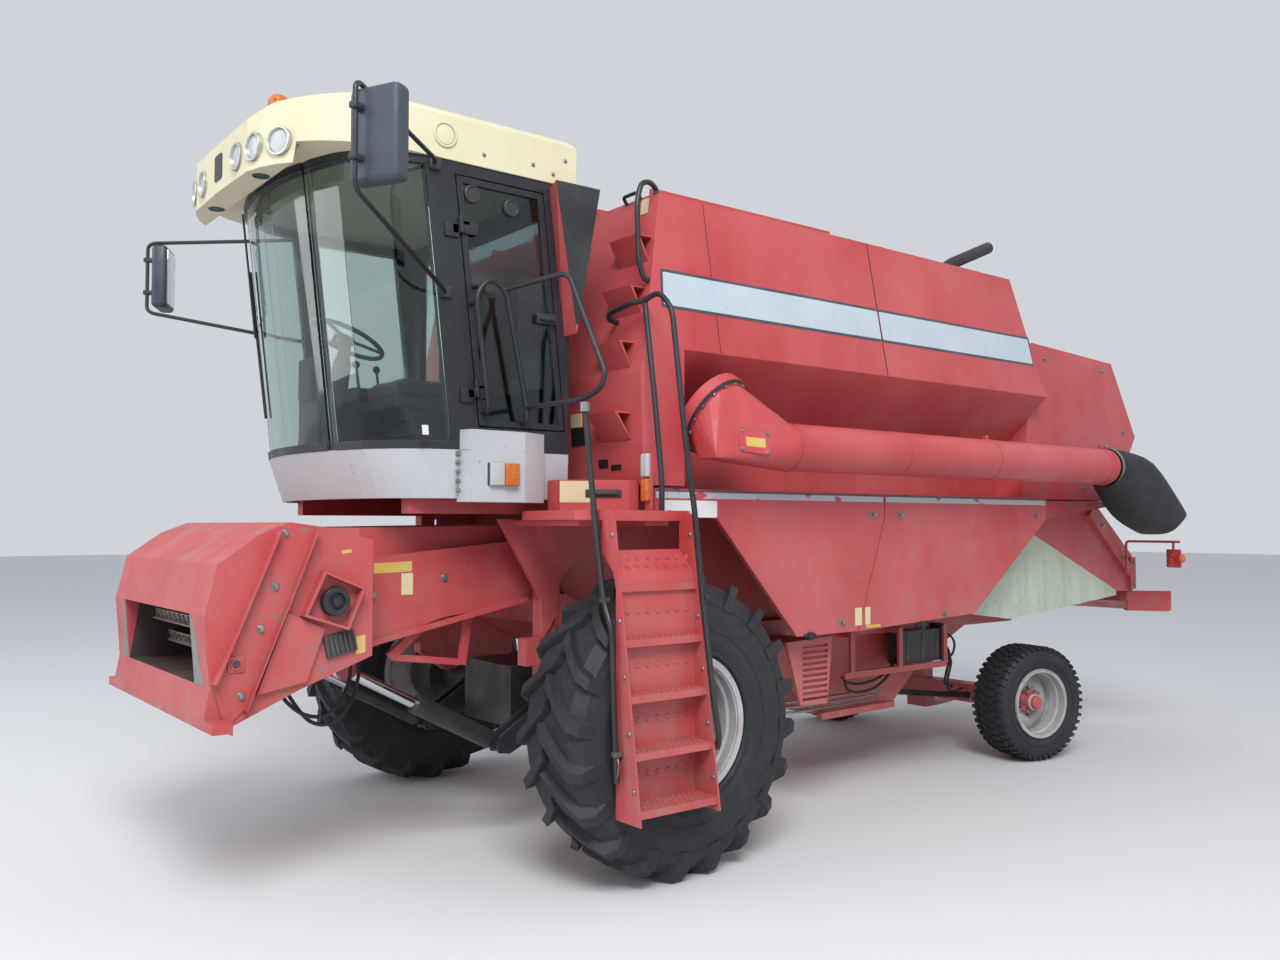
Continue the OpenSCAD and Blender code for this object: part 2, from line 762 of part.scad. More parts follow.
module feeder_chain() {
    run = [feeder_pivot_x, feeder_pivot_z] - chain_front;
    color(dark) at_axle() {
        along_y(chain_front[0], chain_front[1], -mouth_half_w + seat, mouth_half_w - seat, 2 * chain_front_r, $fn = 24);
        along_y(feeder_pivot_x, feeder_pivot_z, -wall_half_w, wall_half_w, feeder_shaft_d - running);
        for (y = [-400, 0, 400]) {
            translate([0, y + 20, 0]) rotate([90, 0, 0]) linear_extrude(40) difference() {
                chain_loop(chain_t);
                chain_loop(0);
            }
            along_y(feeder_pivot_x, feeder_pivot_z, y - 15, y + 15, 2 * chain_rear_r + 2, $fn = 24);
        }
        translate([chain_front[0], 0, chain_front[1]]) rotate([0, atan2(-run[1], run[0]), 0])
            for (i = [0 : 11], side = [-1, 1])
                translate([60 + i * 118, -520, side * (chain_front_r + chain_t - 5 - i * 2.4) - 12])
                    cube([24, 1040, 24]);
    }
}

module on_lift(side) {
    at_axle() translate([lift_foot[0], side * lift_y, lift_foot[1]]) rotate([0, -lift_angle, 0]) children();
}

module lift_barrel(side) {
    color(dark) on_lift(side) difference() {
        union() {
            rotate([90, 0, 0]) cylinder(h = 50, d = 80, center = true);
            box([0, -25, -35], [80, 25, 35]);
            translate([75, 0, 0]) rotate([0, 90, 0]) cylinder(h = 485, d = lift_barrel_d);
        }
        rotate([90, 0, 0]) cylinder(h = 60, d = lift_pin_d, center = true);
        translate([100, 0, 0]) rotate([0, 90, 0]) cylinder(h = 520, d = lift_rod_d + running);
    }
}

module lift_rod(side) {
    color(grey) on_lift(side) difference() {
        union() {
            translate([465, 0, 0]) rotate([0, 90, 0]) cylinder(h = lift_length - 505, d = lift_rod_d);
            translate([lift_length, 0, 0]) rotate([90, 0, 0]) cylinder(h = 50, d = 100, center = true);
        }
        translate([lift_length, 0, 0]) rotate([90, 0, 0]) cylinder(h = 60, d = lift_eye_bore, center = true);
    }
}

module lift_barrel_left() {
    lift_barrel(1);
}

module lift_barrel_right() {
    lift_barrel(-1);
}

module lift_rod_left() {
    lift_rod(1);
}

module lift_rod_right() {
    lift_rod(-1);
}

// Cab

// The cab's plan: the front between the door pillars is one wide arc with a tight arc at each corner
module cab_plan(inset) {
    corner_y = cab_half_w - screen_corner_r;
    offset_r = screen_corner_r - inset;
    intersection() {
        union() {
            translate([-300, inset - cab_half_w]) square([pillar_x + 300, 2 * (cab_half_w - inset)]);
            translate([pillar_x - 1, -corner_y]) square([screen_front_x - pillar_x - inset, 2 * corner_y]);
            for (side = [-1, 1])
                translate([pillar_x, side * corner_y]) circle(r = offset_r);
        }
        translate([screen_front_x - screen_r, 0]) circle(r = screen_r - inset, $fn = 96);
    }
}

// Leans what it holds forward about the sill, as the windscreen and its pillars do
module leaning() {
    translate([lean_x, 0, cab_sill_z]) rotate([0, screen_lean, 0]) translate([-lean_x, 0, -cab_sill_z]) children();
}

module cab_wall(inset, wall) {
    intersection() {
        leaning() cab_ring(1700, 3900, inset, wall);
        box([cab_rear_x, -1000, cab_sill_z], [2000, 1000, cab_roof_z - seat]);
    }
}

module cab_ring(z0, z1, inset, wall) {
    translate([0, 0, z0]) linear_extrude(z1 - z0) difference() {
        cab_plan(inset);
        cab_plan(inset + wall);
    }
}

// The skirt below the windscreen: its foot stands further back than its top
module cab_skirt(inset) {
    hull() {
        translate([0, 0, cab_sill_z - seat - 1]) linear_extrude(1) cab_plan(inset);
        translate([-66, 0, 1812]) linear_extrude(1) cab_plan(inset + 12);
    }
}

module cab_floor() {
    color(grey) at_axle() {
        intersection() {
            union() {
                difference() {
                    cab_skirt(0);
                    translate([0, 0, -2]) cab_skirt(20);
                    translate([0, 0, 2]) cab_skirt(20);
                    box([0, -800, 1700], [cab_rear_x + 40, 800, cab_floor_z]);
                }
                intersection() {
                    cab_skirt(2);
                    box([0, -1000, cab_floor_z], [2000, 1000, cab_floor_z + 40]);
                }
                box([cab_rear_x, -860, cab_floor_z], [cab_rear_x + 20, 860, cab_sill_z - seat]);
            }
            box([cab_rear_x, -1000, 1700], [2000, 1000, 2200]);
        }
        side_slab([[897, 855], [880, 960], [580, 960], [431, 900], [431, 855]], 1794, cab_sill_z - 1);
        side_slab([[897, cab_half_w + seat], [880, 960], [580, 960], [431, 900], [431, cab_half_w + seat]],
            cab_sill_z - 2, 2139);
    }
}

module door_opening(grow) {
    intersection() {
        leaning() box([door_rear_x - grow, -1000, 1700], [door_front_x + grow, 1000, 3900]);
        box([0, -1000, door_sill_z - grow], [1300, 1000, door_top_z + grow]);
    }
}

module at_door_hinge(z) {
    leaning() translate([door_hinge_x, door_hinge_y, z]) children();
}

module cab_frame() {
    color(dark) at_axle() {
        difference() {
            union() {
                cab_wall(0, 50);
                box([cab_rear_x, -cab_half_w, cab_sill_z], [cab_rear_x + 50, cab_half_w, cab_roof_z - seat]);
            }
            intersection() {
                leaning() box([pillar_front_x, -1000, 1700], [2200, 1000, 3900]);
                box([500, -1000, cab_sill_z + 40], [2200, 1000, cab_roof_z - 40]);
            }
            door_opening(panel_gap);
            box([cab_rear_x - 50, -700, 2400], [cab_rear_x + 100, 700, cab_roof_z - 120]);
        }
        for (z = door_hinges) at_door_hinge(z) {
            translate([0, 0, -40]) cylinder(h = 40, d = 24);
            box([0, -14, -40], [46, -2, 0]);
            translate([0, 0, -40]) cylinder(h = 78, d = 15.9);
        }
    }
}

module cab_glass() {
    color(glass) at_axle() {
        intersection() {
            cab_wall(10, glass_t);
            leaning() box([pillar_front_x, -1000, 1700], [2200, 1000, 3900]);
            box([500, -1000, cab_sill_z + 40], [2200, 1000, cab_roof_z - 40]);
        }
        intersection() {
            door_opening(panel_gap);
            box([0, -cab_half_w + 20, 2000], [1300, -cab_half_w + 20 + glass_t, 3500]);
        }
        box([cab_rear_x + 20, -700, 2400], [cab_rear_x + 20 + glass_t, 700, cab_roof_z - 120]);
    }
}

module cab_door() {
    color(dark) at_axle() {
        difference() {
            intersection() {
                door_opening(0);
                box([0, cab_half_w - 30, 2000], [1300, cab_half_w, 3500]);
            }
            door_opening(-30);
        }
        for (z = door_hinges) at_door_hinge(z) difference() {
            union() {
                translate([0, 0, seat]) cylinder(h = 40, d = 24);
                box([-46, -15, seat], [0, -2, 40]);
            }
            translate([0, 0, -1]) cylinder(h = 50, d = 16);
        }
    }
}

module door_glass() {
    color(glass) at_axle() intersection() {
        door_opening(-30);
        box([0, cab_half_w - 20, 2000], [1300, cab_half_w - 20 + glass_t, 3500]);
    }
}

roof_top_z = 3698;
visor_low_z = 3335;
head_lamps = [[1762, 266, 3], [1745, 454, 9], [1680, 604, 28]];
lamp_z = 3440;
beacon_x = 1477;
beacon_seat_z = 3640;

module cab_roof() {
    color(cream) at_axle() difference() {
        intersection() {
            side_plate([[227, cab_roof_z], [1630, cab_roof_z], [1640, visor_low_z], [1800, visor_low_z],
                [1800, 3560], [1700, 3625], [1142, roof_top_z], [227, roof_top_z]], -1000, 1000);
            cross_plate([[-1000, 3300], [-1000, 3600], [-888, 3640], [-800, roof_top_z], [800, roof_top_z],
                [888, 3640], [1000, 3600], [1000, 3300]], 200, 1900);
            translate([0, 0, 3300]) linear_extrude(500) polygon(concat([[227, -888]],
                [for (t = [-90 : 10 : 90]) [1160 + 612 * cos(t), (t < 0 ? -300 : t > 0 ? 300 : 0) + 588 * sin(t)]],
                [[227, 888]]));
        }
        both_sides() for (p = head_lamps)
            translate([p[0], p[1], lamp_z]) rotate([0, 0, p[2]]) rotate([0, 90, 0])
                translate([0, 0, -60]) cylinder(h = 200, d = 130);
        translate([beacon_x, 0, beacon_seat_z]) cylinder(h = 100, d = 140);
    }
}

module lamps() {
    color([0.9, 0.9, 0.85]) at_axle() {
        both_sides() {
            for (p = head_lamps)
                translate([p[0], p[1], lamp_z]) rotate([0, 0, p[2]]) rotate([0, 90, 0])
                    translate([0, 0, -60 + seat]) cylinder(h = 45, d = 120);
            translate([tail_x, 0, 0]) {
                box([-5080, 985 + seat, 1300], [-5060, 1025, 1565]);
                box([-5080, 1000, 1545], [-5060, 1460, 1565]);
                box([-5078, 1370, 1490], [-5062, 1410, 1550]);
                box([-5080, 1330, 1350], [-5060, 1450, 1495]);
            }
        }
        translate([beacon_x, 0, beacon_seat_z + seat]) cylinder(h = 60, d = 130);
        translate([beacon_x, 0, beacon_seat_z + 50]) cylinder(h = 200, d = 110);
        box([600, 960 + seat, 1890], [740, 975, 1990]);
        box([70, 1280, deck_top_z + seat], [90, 1320, 2045]);
    }
}

// Two loops that stand on the door frame and swing with it
module door_rails() {
    d = 26;
    color(dark) at_axle() {
        bent_tube([[773, cab_half_w + seat, 2230], [773, 925, 2230], [779, 945, 2260], [848, 945, 2793], [774, 945, 2877],
            [684, 945, 2830], [561, 945, 2251], [552, 928, 2190], [552, cab_half_w + seat, 2190]], d);
        bent_tube([[690, 945, 2832], [500, 1210, 2895], [500, 1517, 2375], [500, 1480, 2310], [500, 1351, 2274],
            [563, 945, 2262]], d);
        rod([842, 945, 2750], [842, cab_half_w + seat, 2750], 20);
    }
}

module seat() {
    color(dark) at_axle() {
        box([500, -200, cab_floor_z + 40 + seat], [800, 200, 2352]);
        box([430, -250, 2350], [930, 250, 2470]);
        box([350, -240, 2468], [470, 240, 3050]);
    }
}

module controls() {
    color(dark) at_axle() {
        translate([1200, 0, cab_floor_z + 40 + seat]) cylinder(h = 80, d = 150);
        rod([1197, 0, cab_floor_z + 100], [1100, 0, 2660], 90);
        translate([1095, 0, 2670]) rotate([0, -25, 0]) difference() {
            cylinder(h = 24, d = 420, center = true);
            cylinder(h = 30, d = 370, center = true);
        }
        translate([1095, 0, 2670]) rotate([0, -25, 0]) cube([390, 40, 16], center = true);
    }
}

// What stands off the cab's leaning wall by at most the given distance
module cab_pad(low, high, out) {
    intersection() {
        leaning() cab_ring(1700, 3900, -out, out - seat);
        box(low, high);
    }
}

module mirrors() {
    turn = 27;
    color(dark) at_axle() both_sides() {
        cab_pad([958, 860, 2765], [1000, 920, 2815], 14);
        cab_pad([1020, 860, 3370], [1065, 920, 3420], 14);
        bent_tube([[1042, 885, 3395], [1065, 930, 3402], [1700, 1530, 3406], [1724, 1552, 3385], [1724, 1552, 3000],
            [1700, 1530, 2975], [1010, 925, 2792], [980, 885, 2790]], 24);
        translate([1629, 1565, 3009]) rotate([0, 0, turn]) {
            linear_extrude(382) polygon([[-45, -118], [18, -118], [45, -84], [45, 84], [18, 118], [-45, 118]]);
            for (z = [80, 280])
                translate([40, -72, z]) cube([62, 36, 22]);
        }
    }
}

// A wedge beside the cab's rear corner, with a plain front face and a plain side face
module side_sign() {
    inner = cab_half_w + seat;
    color(red) at_axle() hull()
        polyhedron([[393, inner, 3398], [429, 997, 3410], [222, 1088, 3377], [272, inner, 3377],
            [299, inner, 2652], [294, 990, 2655], [274, inner, 2652]],
            [[0, 1, 2], [0, 2, 3], [0, 4, 5], [0, 5, 1], [1, 5, 2], [2, 5, 6], [2, 6, 3], [3, 6, 4], [3, 4, 0], [4, 6, 5]]);
}

deck_top_z = 1754;

module platform() {
    inner = wall_half_w + rail_w + 2 * seat;
    face = tank_low_x + 4;
    color(red) at_axle() {
        side_slab([[36, 884], [549, 884], [549, 1340], [478, 1400], [478, 1450], [36, 1450]], deck_top_z - 46, deck_top_z);
        box([36, inner, deck_top_z - 74], [180, 1400, deck_top_z - 45]);
        box([400, inner, deck_top_z - 74], [520, 1330, deck_top_z - 45]);
        side_slab([[face, 890], [401, 890], [401, 997], [108, 1178], [face, 1178]], deck_top_z - 5, 1909);
        side_plate([[30, 1715], [0, 1600], [230, 1400], [230, 1240], [330, 1100], [345, 1300], [600, 1715]], inner, inner + 24);
    }
}

step_pitch = 245;
first_step_z = 1416;
ladder_w = 471;

// Outer edge of the ladder's side plates at a height, and the inner edge, which clears the tyre
function ladder_out(z) = 1540 + (1731 - z) * 0.1435;
function ladder_in(z) = z < 1400 ? 1556 : 1556 - (z - 1400) * 0.3;

module ladder() {
    color(red) at_axle() {
        for (x = [0, ladder_w - 10])
            cross_plate([[1540, 1731], [1735, 372], [1556, 372], [1556, 1400], [1535, 1470],
                [1450 + seat, 1560], [1450 + seat, deck_top_z], [1510, deck_top_z]], x, x + 10);
        for (i = [0 : 4]) {
            z = first_step_z - i * step_pitch;
            box([9, ladder_in(z) + 2, z - 6], [ladder_w - 9, ladder_out(z) - 6, z]);
            box([9, ladder_out(z) - 12, z - 34], [ladder_w - 9, ladder_out(z) - 6, z]);
        }
        cross_plate([[1556, 400], [1556, 1400], [1535, 1470], [1450 + seat, 1560], [1450 + seat, 1570],
            [1541, 1474], [1562, 1402], [1562, 400]], 9, ladder_w - 9);
        box([9, 1450 + seat, deck_top_z - 50], [ladder_w - 9, 1462, deck_top_z]);
    }
}

module handrails() {
    d = 28;
    color(dark) at_axle() {
        // beside the ladder, away from the cab
        bent_tube([[tank_face(2742) + seat, 965, 2742], [tank_face(2742) + 60, 965, 2751.6], [102, 1000, 2775], [100, 1190, 2802], [66, 1248, 2806], [48, 1342, 2840],
            [44, 1440, 2745], [24, 1515, 2093], [4, 1558, 1756], [4, 1616, 1329], [4, 1693, 870],
            [2, 1724, 716], [-17, 1697, 660]], d);
        box([-31, 1655, 640], [-seat, 1690, 676]);
        bent_tube([[60, 1248, 2801], [60, 1326, 2301], [60, 1380, 1900], [60, 1380, deck_top_z + seat]], d);
        // the hook on the corner of the tank
        bent_tube([[tank_front_top_x - 8, 1140, tank_top_z + seat], [tank_front_top_x - 8, 1140, 3430], [-40, 1165, 3450],
            [30, 1180, 3430], [67, 1190, 3327], [55, 1190, 3013], [tank_face(2929) + 30, 1188, 2934], [tank_face(2929) + seat, 1188, 2929]], d);
        // the post between the ladder and the cab
        bent_tube([[500, 1351, 2248], [497, 1393, 1942], [497, 1430, 1708], [500, 1500, 1345], [500, 1566, 1215],
            [500, 1580, 820], [500, 1604, 545]], d);
        box([ladder_w + seat, 1492, 1336], [500, 1512, 1356]);
        box([ladder_w + seat, 1585, 660], [500, 1605, 680]);
    }
}

module side_grille() {
    color(red) at_axle() both_sides() {
        difference() {
            side_plate([[-1097, 1012], [-1488, 1029], [-1436, 633], [-1209, 643]], 1070, 1088);
            for (i = [0 : 9])
                box([-1440, 1060, 665 + i * 34], [-1230, 1100, 682 + i * 34]);
        }
        box([-1460, wall_half_w + rail_w + 2 * seat, 985], [-1130, 1088, 1005]);
    }
}

// What hangs on the frame rails between the wheels: a long bar, a dark box and a low frame
module under_frame() {
    outer = wall_half_w + rail_w + 2 * seat;
    color(red) at_axle() {
        box([-2940, 816, 706], [-1885, 836, 746]);
        for (x = [-2925, -2440, -1960]) {
            box([x - 20, 816, 740], [x + 20, 836, 1000]);
            box([x - 20, outer, 965], [x + 20, 830, 1000]);
        }
        for (x = [-1870, -2500]) {
            box([x - 18, wall_half_w + seat, 455], [x + 18, 700, 480]);
        }
        side_plate([[-1812, 438], [-1812, 482], [-2538, 489], [-2538, 449]], 660, 700);
        box([-2941, outer, 750], [-2450, 812, 970]);
        both_sides() {
            beam_xz([-2690, 516], [rear_x + 85, 395], 470, 500, 40);
            box([rear_x + 70 + seat, 465, 372], [rear_x + 90, 505, 418]);
        }
    }
}

// Unloading auger

module auger_tube() {
    color(red) at_axle() {
        translate([tube_end_x, auger_y, auger_z]) rotate([0, 90, 0]) difference() {
            cylinder(h = tube_start_x - tube_end_x, d = auger_d);
            translate([0, 0, -1]) cylinder(h = tube_start_x - tube_end_x - 200, d = auger_d - 2 * sheet);
        }
        hull() {
            translate(ring_c) along_ring() translate([0, 0, 10]) cylinder(h = 20, r = ring_r - 14, $fn = 32);
            translate([tube_start_x, auger_y, auger_z]) rotate([0, 90, 0]) cylinder(h = 10, d = auger_d, $fn = 32);
            box([-330, 1290, 2025], [-260, 1420, 2040]);
        }
        translate(ring_c) along_ring() translate([0, 0, seat]) cylinder(h = 14, r = ring_r);
    }
}

module auger_spout() {
    color(dark) at_tail() difference() {
        side_plate([[-4060 - seat, 2260], [-4600, 2202], [-5100, 1782], [-4740, 1597], [-4350, 1680],
            [-4060 - seat, 1940]], auger_y - 150, auger_y + 150);
        side_plate([[-4070, 2220], [-4590, 2180], [-5200, 1650], [-4700, 1500], [-4370, 1700], [-4070, 2000]],
            auger_y - 138, auger_y + 138);
        along_x(auger_y, auger_z, -4200, -4050, auger_d - 2 * sheet);
    }
}

main_frame();
threshing_body();
grain_tank();
tank_lid_left();
tank_lid_right();
engine_hood();
engine();
exhaust();
rear_hood();
straw_curtain();
spreader();
shield_front_left();
shield_rear_left();
shield_front_right();
shield_rear_right();
front_axle();
front_rim_left();
front_tyre_left();
front_rim_right();
front_tyre_right();
rear_axle();
knuckle_left();
knuckle_right();
tie_rod();
rear_rim_left();
rear_tyre_left();
rear_rim_right();
rear_tyre_right();
feeder_house();
feeder_mouth();
feeder_chain();
lift_barrel_left();
lift_barrel_right();
lift_rod_left();
lift_rod_right();
cab_floor();
cab_frame();
cab_glass();
cab_door();
door_glass();
cab_roof();
lamps();
door_rails();
seat();
controls();
mirrors();
side_sign();
platform();
ladder();
handrails();
side_grille();
under_frame();
auger_tube();
auger_spout();
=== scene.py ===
"""A worn red combine harvester on its wheels, without a header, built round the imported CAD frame."""

import math

import bmesh
import bpy
from mathutils import Matrix, Vector


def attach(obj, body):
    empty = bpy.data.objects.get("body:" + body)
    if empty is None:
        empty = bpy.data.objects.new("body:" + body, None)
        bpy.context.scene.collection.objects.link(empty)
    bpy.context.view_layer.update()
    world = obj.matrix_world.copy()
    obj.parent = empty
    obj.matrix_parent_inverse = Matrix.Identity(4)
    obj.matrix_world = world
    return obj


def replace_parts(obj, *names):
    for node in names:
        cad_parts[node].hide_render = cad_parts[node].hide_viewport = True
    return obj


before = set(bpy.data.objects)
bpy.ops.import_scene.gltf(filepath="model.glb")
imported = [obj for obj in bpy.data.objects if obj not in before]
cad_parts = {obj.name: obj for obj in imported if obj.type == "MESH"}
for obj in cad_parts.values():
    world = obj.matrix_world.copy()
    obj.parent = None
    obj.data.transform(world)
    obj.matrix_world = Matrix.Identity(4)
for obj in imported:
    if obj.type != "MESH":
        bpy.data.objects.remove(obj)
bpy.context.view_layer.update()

# Sheet metal body
#
# The tank, hoods, shields and frames are pressed steel sheet, welded and bolted, and sprayed in one red
# enamel. Years of sun have paled it in clouds, rain has left streaks, and field dust sits low down.


def linear(code):
    """A colour picker's hex colour in Blender's linear values."""
    parts = [int(code[i : i + 2], 16) / 255 for i in (1, 3, 5)]
    return [p / 12.92 if p <= 0.04045 else ((p + 0.055) / 1.055) ** 2.4 for p in parts] + [1.0]


def add(tree, kind, inputs=None, **settings):
    """A node with its settings, and with each input linked or given a value."""
    made = tree.nodes.new(kind)
    for key, value in settings.items():
        setattr(made, key, value)
    for key, value in (inputs or {}).items():
        if isinstance(value, bpy.types.NodeSocket):
            tree.links.new(value, made.inputs[key])
        else:
            made.inputs[key].default_value = value
    return made


def surface(name, slot, **values):
    """A new material on one of the record's slots, with its tree, shader and object coordinates in metres."""
    made = bpy.data.materials.new(name)
    made["slot"] = slot
    made.use_nodes = True
    tree = made.node_tree
    shader = tree.nodes["Principled BSDF"]
    for key, value in values.items():
        shader.inputs[key.replace("_", " ")].default_value = value
    place = add(tree, "ShaderNodeTexCoord").outputs["Object"]
    return made, tree, shader, place


def spots(tree, place, size, start, edge, most=1.0, stretch=(1, 1, 1)):
    """A mask of uneven spots about size millimetres across, which begin where the noise passes start."""
    laid = add(tree, "ShaderNodeMapping", {"Vector": place, "Scale": stretch}).outputs[0]
    grain = add(tree, "ShaderNodeTexNoise", {"Vector": laid, "Scale": 1000 / size, "Detail": 6.0}).outputs[0]
    mask = {"Value": grain, "From Min": start, "From Max": start + edge, "To Max": most}
    return add(tree, "ShaderNodeMapRange", mask).outputs[0]


def over(tree, cover, below, above):
    """One coat of colour over another where cover is 1."""
    return add(tree, "ShaderNodeMix", {0: cover, 6: below, 7: above}, data_type="RGBA").outputs[2]


def polish(tree, shader, mask, low, high):
    """Varies a shader's roughness between two values by a mask."""
    spread = add(tree, "ShaderNodeMapRange", {"Value": mask, "To Min": low, "To Max": high})
    tree.links.new(spread.outputs[0], shader.inputs["Roughness"])


def enamel(
    name, slot, fresh, faded, chip="#5f5a57", dust="#8f8578", rough=0.4, chips=0.68, dusty=0.45, metal=0.0,
):
    """Weathered enamel: faded in clouds, streaked, worn along its edges, chipped in spots, dusty low down."""
    made, tree, shader, place = surface(name, slot, Metallic=metal)
    clouds = spots(tree, place, 900, 0.36, 0.34)
    streaks = spots(tree, place, 210, 0.46, 0.26, 0.4, (1.0, 1.0, 0.1))
    colour = over(tree, clouds, linear(fresh), linear(faded))
    colour = over(tree, streaks, colour, linear(faded))
    small = spots(tree, place, 26, chips, 0.03)
    where = spots(tree, place, 480, 0.47, 0.15)
    chipped = add(tree, "ShaderNodeMath", {0: small, 1: where}, operation="MULTIPLY").outputs[0]
    # The edge wear is where the true normal departs from one rounded over 5 mm.
    rounded = add(tree, "ShaderNodeBevel", {"Radius": 0.005}, samples=4).outputs[0]
    flat_normal = add(tree, "ShaderNodeNewGeometry").outputs["Normal"]
    agree = add(tree, "ShaderNodeVectorMath", {0: rounded, 1: flat_normal}, operation="DOT_PRODUCT")
    edge = {"Value": agree.outputs["Value"], "From Min": 0.985, "From Max": 0.86, "To Max": 0.85}
    near_edge = add(tree, "ShaderNodeMapRange", edge).outputs[0]
    rubbed = spots(tree, place, 60, 0.5, 0.12)
    worn = add(tree, "ShaderNodeMath", {0: near_edge, 1: rubbed}, operation="MULTIPLY").outputs[0]
    bare = add(tree, "ShaderNodeMath", {0: chipped, 1: worn}, operation="MAXIMUM").outputs[0]
    colour = over(tree, bare, colour, linear(chip))
    height = add(tree, "ShaderNodeSeparateXYZ", {"Vector": place}).outputs["Z"]
    low = {"Value": height, "From Min": 2.0, "From Max": 0.3, "To Min": 0.04, "To Max": dusty}
    low = add(tree, "ShaderNodeMapRange", low).outputs[0]
    grime = spots(tree, place, 120, 0.32, 0.4)
    grime = add(tree, "ShaderNodeMath", {0: low, 1: grime}, operation="MULTIPLY").outputs[0]
    colour = over(tree, grime, colour, linear(dust))
    tree.links.new(colour, shader.inputs["Base Color"])
    polish(tree, shader, spots(tree, place, 150, 0.3, 0.4), rough - 0.08, rough + 0.18)
    # Orange peel from the spray gun is under 1 mm wide; it is drawn at 3 mm to show.
    peel = add(tree, "ShaderNodeTexNoise", {"Vector": place, "Scale": 330.0, "Detail": 1.0}).outputs[0]
    peel = {"Height": peel, "Strength": 0.1, "Distance": 0.001, "Normal": rounded}
    peel = add(tree, "ShaderNodeBump", peel).outputs[0]
    # Rolled sheet between its folds stands out and in by a few millimetres.
    wave = add(tree, "ShaderNodeTexNoise", {"Vector": place, "Scale": 2.4, "Detail": 1.0}).outputs[0]
    wave = {"Height": wave, "Strength": 0.3, "Distance": 0.012, "Normal": peel}
    tree.links.new(add(tree, "ShaderNodeBump", wave).outputs[0], shader.inputs["Normal"])
    return made


def dress(material, *nodes):
    """Gives CAD nodes one finish."""
    for name in nodes:
        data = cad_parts[name].data
        data.materials.clear()
        data.materials.append(material)


# A satin red, pinker where it has faded, with grey-brown wear in spots and along its edges.
red_enamel = enamel("red enamel, sprayed and sun-faded", "red_paint", "#b23a3f", "#c05a5c")
dress(
    red_enamel,
    "main_frame", "threshing_body", "grain_tank", "tank_lid_left", "tank_lid_right", "engine_hood",
    "rear_hood", "spreader", "shield_front_left", "shield_rear_left", "shield_front_right",
    "shield_rear_right", "rear_axle", "platform", "ladder", "side_grille", "auger_tube", "side_sign",
)
# A dark, even satin, grey where its edges are rubbed.
black_enamel = enamel(
    "black enamel, sprayed", "dark_paint", "#1b1d22", "#292c32", "#54565a", "#4d4843",
    rough=0.36, chips=0.74, dusty=0.35,
)
dress(
    black_enamel,
    "front_axle", "knuckle_left", "knuckle_right", "tie_rod", "feeder_chain", "cab_frame", "cab_door",
    "engine", "lift_barrel_left", "lift_barrel_right",
)

# Tank sides
#
# Each side carries a long stick-on stripe, here blank, over the welded joints of the tank and hood. The
# front carries small blank plates, and a grab handle stands by its lids.

# Where the front axle stands in the frame, in metres.
AXLE_X = 1.708
# How far the body's sides stand from the centre plane, in millimetres.
BODY_SIDE = 1223


def coat(tree, shader, colour, relief=None, strength=0.0, depth=0.001):
    """Gives a shader its colour, and where there is a relief its bump, depth metres high."""
    tree.links.new(colour, shader.inputs["Base Color"])
    if relief is not None:
        bump = add(tree, "ShaderNodeBump", {"Height": relief, "Strength": strength, "Distance": depth})
        tree.links.new(bump.outputs[0], shader.inputs["Normal"])


def at(x, y, z):
    """A point given in millimetres from the front axle, in the frame's metres."""
    return Vector((x / 1000 + AXLE_X, y / 1000, z / 1000))


def link(name, data):
    """A new object in the scene."""
    made = bpy.data.objects.new(name, data)
    bpy.context.scene.collection.objects.link(made)
    return made


def baked(shaped):
    """A mesh of what an object's curve or modifiers make."""
    return bpy.data.meshes.new_from_object(shaped.evaluated_get(bpy.context.evaluated_depsgraph_get()))


def piece(name, build, material, body="chassis", sharp=30):
    """A finished mesh that rides on a body, smooth except where it folds by more than sharp degrees."""
    data = bpy.data.meshes.new(name)
    build.to_mesh(data)
    build.free()
    data.shade_smooth()
    data.set_sharp_from_angle(angle=math.radians(sharp))
    data.materials.append(material)
    made = link(name, data)
    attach(made, body)
    return made


def plates(name, outlines, facing, thick, material, body="chassis", corner=0.0, inset=0.0):
    """Thin plates on outlines in millimetres, drawn in by inset, which stand thick millimetres proud."""
    build = bmesh.new()
    for outline in outlines:
        build.faces.new([build.verts.new(at(*place)) for place in outline])
    if inset:
        margin = bmesh.ops.inset_individual(build, faces=build.faces[:], thickness=inset / 1000)["faces"]
        bmesh.ops.delete(build, geom=margin, context="FACES")
    if corner:
        bmesh.ops.bevel(
            build, geom=build.verts[:], offset=corner / 1000, offset_type="OFFSET",
            affect="VERTICES", segments=4, profile=0.5, material=-1,
        )
    build.normal_update()
    for face in build.faces:
        if face.normal.dot(Vector(facing)) < 0:
            face.normal_flip()
    bmesh.ops.solidify(build, geom=build.faces[:], thickness=-thick / 1000)
    bmesh.ops.recalc_face_normals(build, faces=build.faces[:])
    return piece(name, build, material, body)


def mirrored(outlines):
    """The same outlines on the other side of the machine."""
    return [[(x, -y, z) for x, y, z in outline] for outline in outlines]


def round_line(name, routes, diameter, ends):
    """A round bar's curve along routes in metres, diameter millimetres thick, with or without end caps."""
    line = bpy.data.curves.new(name, "CURVE")
    line.dimensions = "3D"
    line.bevel_depth = diameter / 2000
    line.bevel_resolution = 3
    line.use_fill_caps = ends
    for route in routes:
        spline = line.splines.new("POLY")
        spline.points.add(len(route) - 1)
        for point, place in zip(spline.points, route):
            point.co = (*place, 1)
    return line


